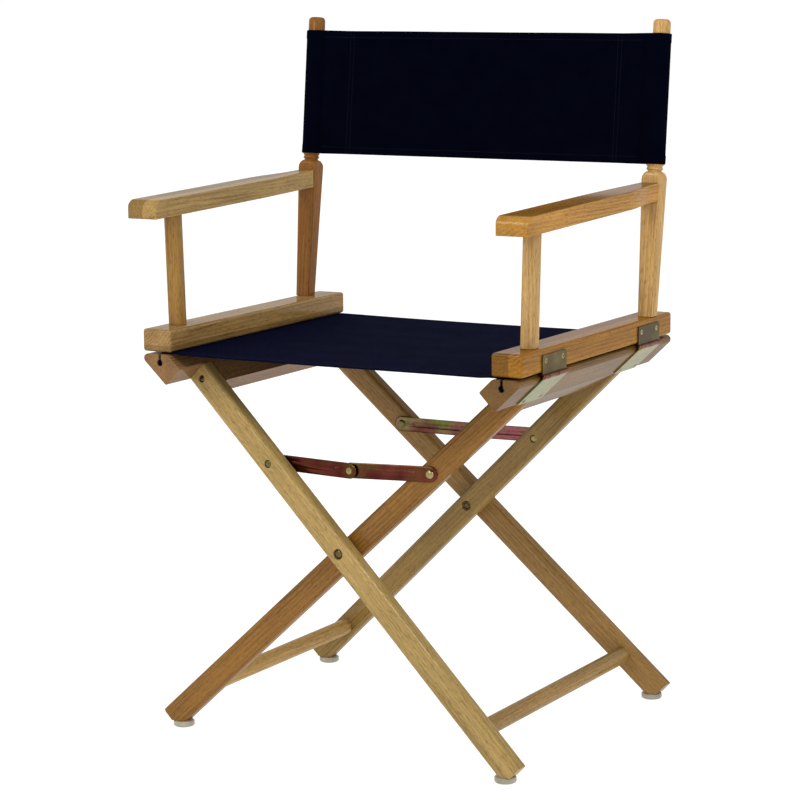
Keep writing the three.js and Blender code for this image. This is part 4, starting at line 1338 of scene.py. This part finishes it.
def back_stitches():
    pairs, ups = [], []

    def stitch(x0, w0, x1, w1):
        def face(x, w):
            base = CLOTH / 2 if abs(x) < SEAM else wedge(x)
            return (x, panel_wave(x, w) - (base + 0.4 * hem_share(w) - 0.12), w)

        def rear(x, w):
            lap = SLEEVE_LAP if abs(x) > SEAM - 11 else 0
            base = CLOTH / 2 + lap if abs(x) < SEAM else max(wedge(x), CLOTH / 2 + SLEEVE_LAP)
            return (x, panel_wave(x, w) + base + 0.4 * hem_share(w) - 0.12, w)

        pairs.extend([(face(x0, w0), face(x1, w1)), (rear(x0, w0), rear(x1, w1))])
        ups.extend([(0, -1, 0), (0, 1, 0)])

    for row in SEAM_ROWS:
        for w in stitch_starts(BACK_FROM + 1.5, BACK_TO - 1):
            for sign in (-1, 1):
                stitch(sign * row, w, sign * row, w + STITCH_LENGTH)
    for w in (BACK_FROM + BACK_HEM_ROW, BACK_TO - BACK_HEM_ROW):
        for x in stitch_starts(-SPLIT + 1, SPLIT):
            stitch(x, w, x + STITCH_LENGTH, w)
    return stitch_row(pairs, ups, "back_stitching", BACK_PLACE)


def make_back():
    panel, stitching = make_back_panel(), back_stitches()
    left, right = [make_sleeve(side) for side in SIDES]
    for piece, body, material in ((panel, "left_arm", BACK_CANVAS_SHADED), (stitching, "left_arm", BACK_THREAD_SHADED),
                                  (left, "left_arm", BACK_CANVAS_SHADED), (right, "right_arm", BACK_CANVAS_SHADED)):
        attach(piece, body)
        dress(piece, material)
    for piece in (panel, stitching):
        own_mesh(piece)
    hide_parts("back_canvas")


make_back()

# ---------------------------------------------------------------- camera, light and floor
# The camera is the one that fits the corners of the chair's frame in the photo.
CAMERA_AZIMUTH = math.radians(29.174)
CAMERA_ELEVATION = math.radians(9.235)
CAMERA_ROLL = math.radians(-0.495)
CAMERA_DISTANCE = 3.4489
CAMERA_LENS = 125.66
CAMERA_TARGET_HEIGHT = 0.40022
CAMERA_TARGET_RIGHT = -0.016686
HORIZON = 1.04  # strength of the world's light at eye level
ZENITH = 0.42  # and overhead
FLOOR_GLOW = 0.78
FLOOR_DROP = 0.0006  # below the feet
CHAIR_MIDDLE = (0, 0, 0.45)


def make_camera():
    right = Vector((math.cos(CAMERA_AZIMUTH), math.sin(CAMERA_AZIMUTH), 0))
    back = Vector((math.sin(CAMERA_AZIMUTH) * math.cos(CAMERA_ELEVATION),
                   -math.cos(CAMERA_AZIMUTH) * math.cos(CAMERA_ELEVATION), math.sin(CAMERA_ELEVATION)))
    up = back.cross(right)
    x = right * math.cos(CAMERA_ROLL) + up * math.sin(CAMERA_ROLL)
    data = bpy.data.cameras.new("camera")
    data.lens = CAMERA_LENS
    data.sensor_width = 36
    data.clip_end = 60
    camera = bpy.data.objects.new("camera", data)
    target = Vector((0, 0, CAMERA_TARGET_HEIGHT)) + right * CAMERA_TARGET_RIGHT
    camera.matrix_world = basis(x, back.cross(x), back, target + back * CAMERA_DISTANCE)
    link(camera)
    bpy.context.scene.camera = camera


def area_light(name, at, target, size, power):
    data = bpy.data.lights.new(name, "AREA")
    data.size = size
    data.energy = power
    lamp = bpy.data.objects.new(name, data)
    lamp.location = at
    lamp.rotation_euler = (Vector(target) - Vector(at)).to_track_quat("-Z", "Y").to_euler()
    link(lamp)


def make_floor():
    bm = bmesh.new()
    bmesh.ops.create_grid(bm, x_segments=2, y_segments=2, size=12)
    mesh = bpy.data.meshes.new("floor")
    bm.to_mesh(mesh)
    bm.free()
    shader = Shader("floor_pale")
    place = shader.place()
    cloud = shader.noise(place, (2, 2, 2), 2.0)
    shader.set(Base_Color=shader.blend(cloud, (0.47, 0.47, 0.47, 1), (0.49, 0.49, 0.49, 1)), Roughness=0.9,
               Specular_IOR_Level=0.1, Emission_Color=(1, 1, 1, 1), Emission_Strength=FLOOR_GLOW)
    mesh.materials.append(shader.material)
    floor = bpy.data.objects.new("floor", mesh)
    floor.location.z = -FLOOR_DROP
    link(floor)


def make_world():
    """White all round at eye level, and dimmer overhead, as under a softbox in a white room."""
    world = bpy.data.worlds.new("studio")
    world.use_nodes = True
    tree = world.node_tree
    place = tree.nodes.new("ShaderNodeTexCoord")
    split = tree.nodes.new("ShaderNodeSeparateXYZ")
    level = tree.nodes.new("ShaderNodeMapRange")
    level.interpolation_type = "SMOOTHSTEP"
    for name, value in (("From Min", 0.28), ("From Max", 0.62), ("To Min", HORIZON), ("To Max", ZENITH)):
        level.inputs[name].default_value = value
    tree.links.new(place.outputs["Generated"], split.inputs[0])
    tree.links.new(split.outputs["Z"], level.inputs["Value"])
    tree.links.new(level.outputs[0], tree.nodes["Background"].inputs["Strength"])
    tree.nodes["Background"].inputs["Color"].default_value = (1, 1, 1, 1)
    bpy.context.scene.world = world


def make_light():
    make_world()
    area_light("key", (-1.6, -2.3, 3.2), CHAIR_MIDDLE, 1.2, 36)
    area_light("top", (0.6, 0.5, 3.4), CHAIR_MIDDLE, 1.6, 12)
    area_light("edge", (1.5, -1.55, 3.2), (0, 0, 0.4), 0.45, 18)
    area_light("strip", (-0.7, -3.2, 1.75), CHAIR_MIDDLE, 0.5, 9)
    area_light("side", (3.0, -1.4, 2.2), CHAIR_MIDDLE, 0.8, 22)
    bpy.context.scene.view_settings.view_transform = "Standard"
    bpy.context.scene.view_settings.look = "None"


make_camera()
make_floor()
make_light()
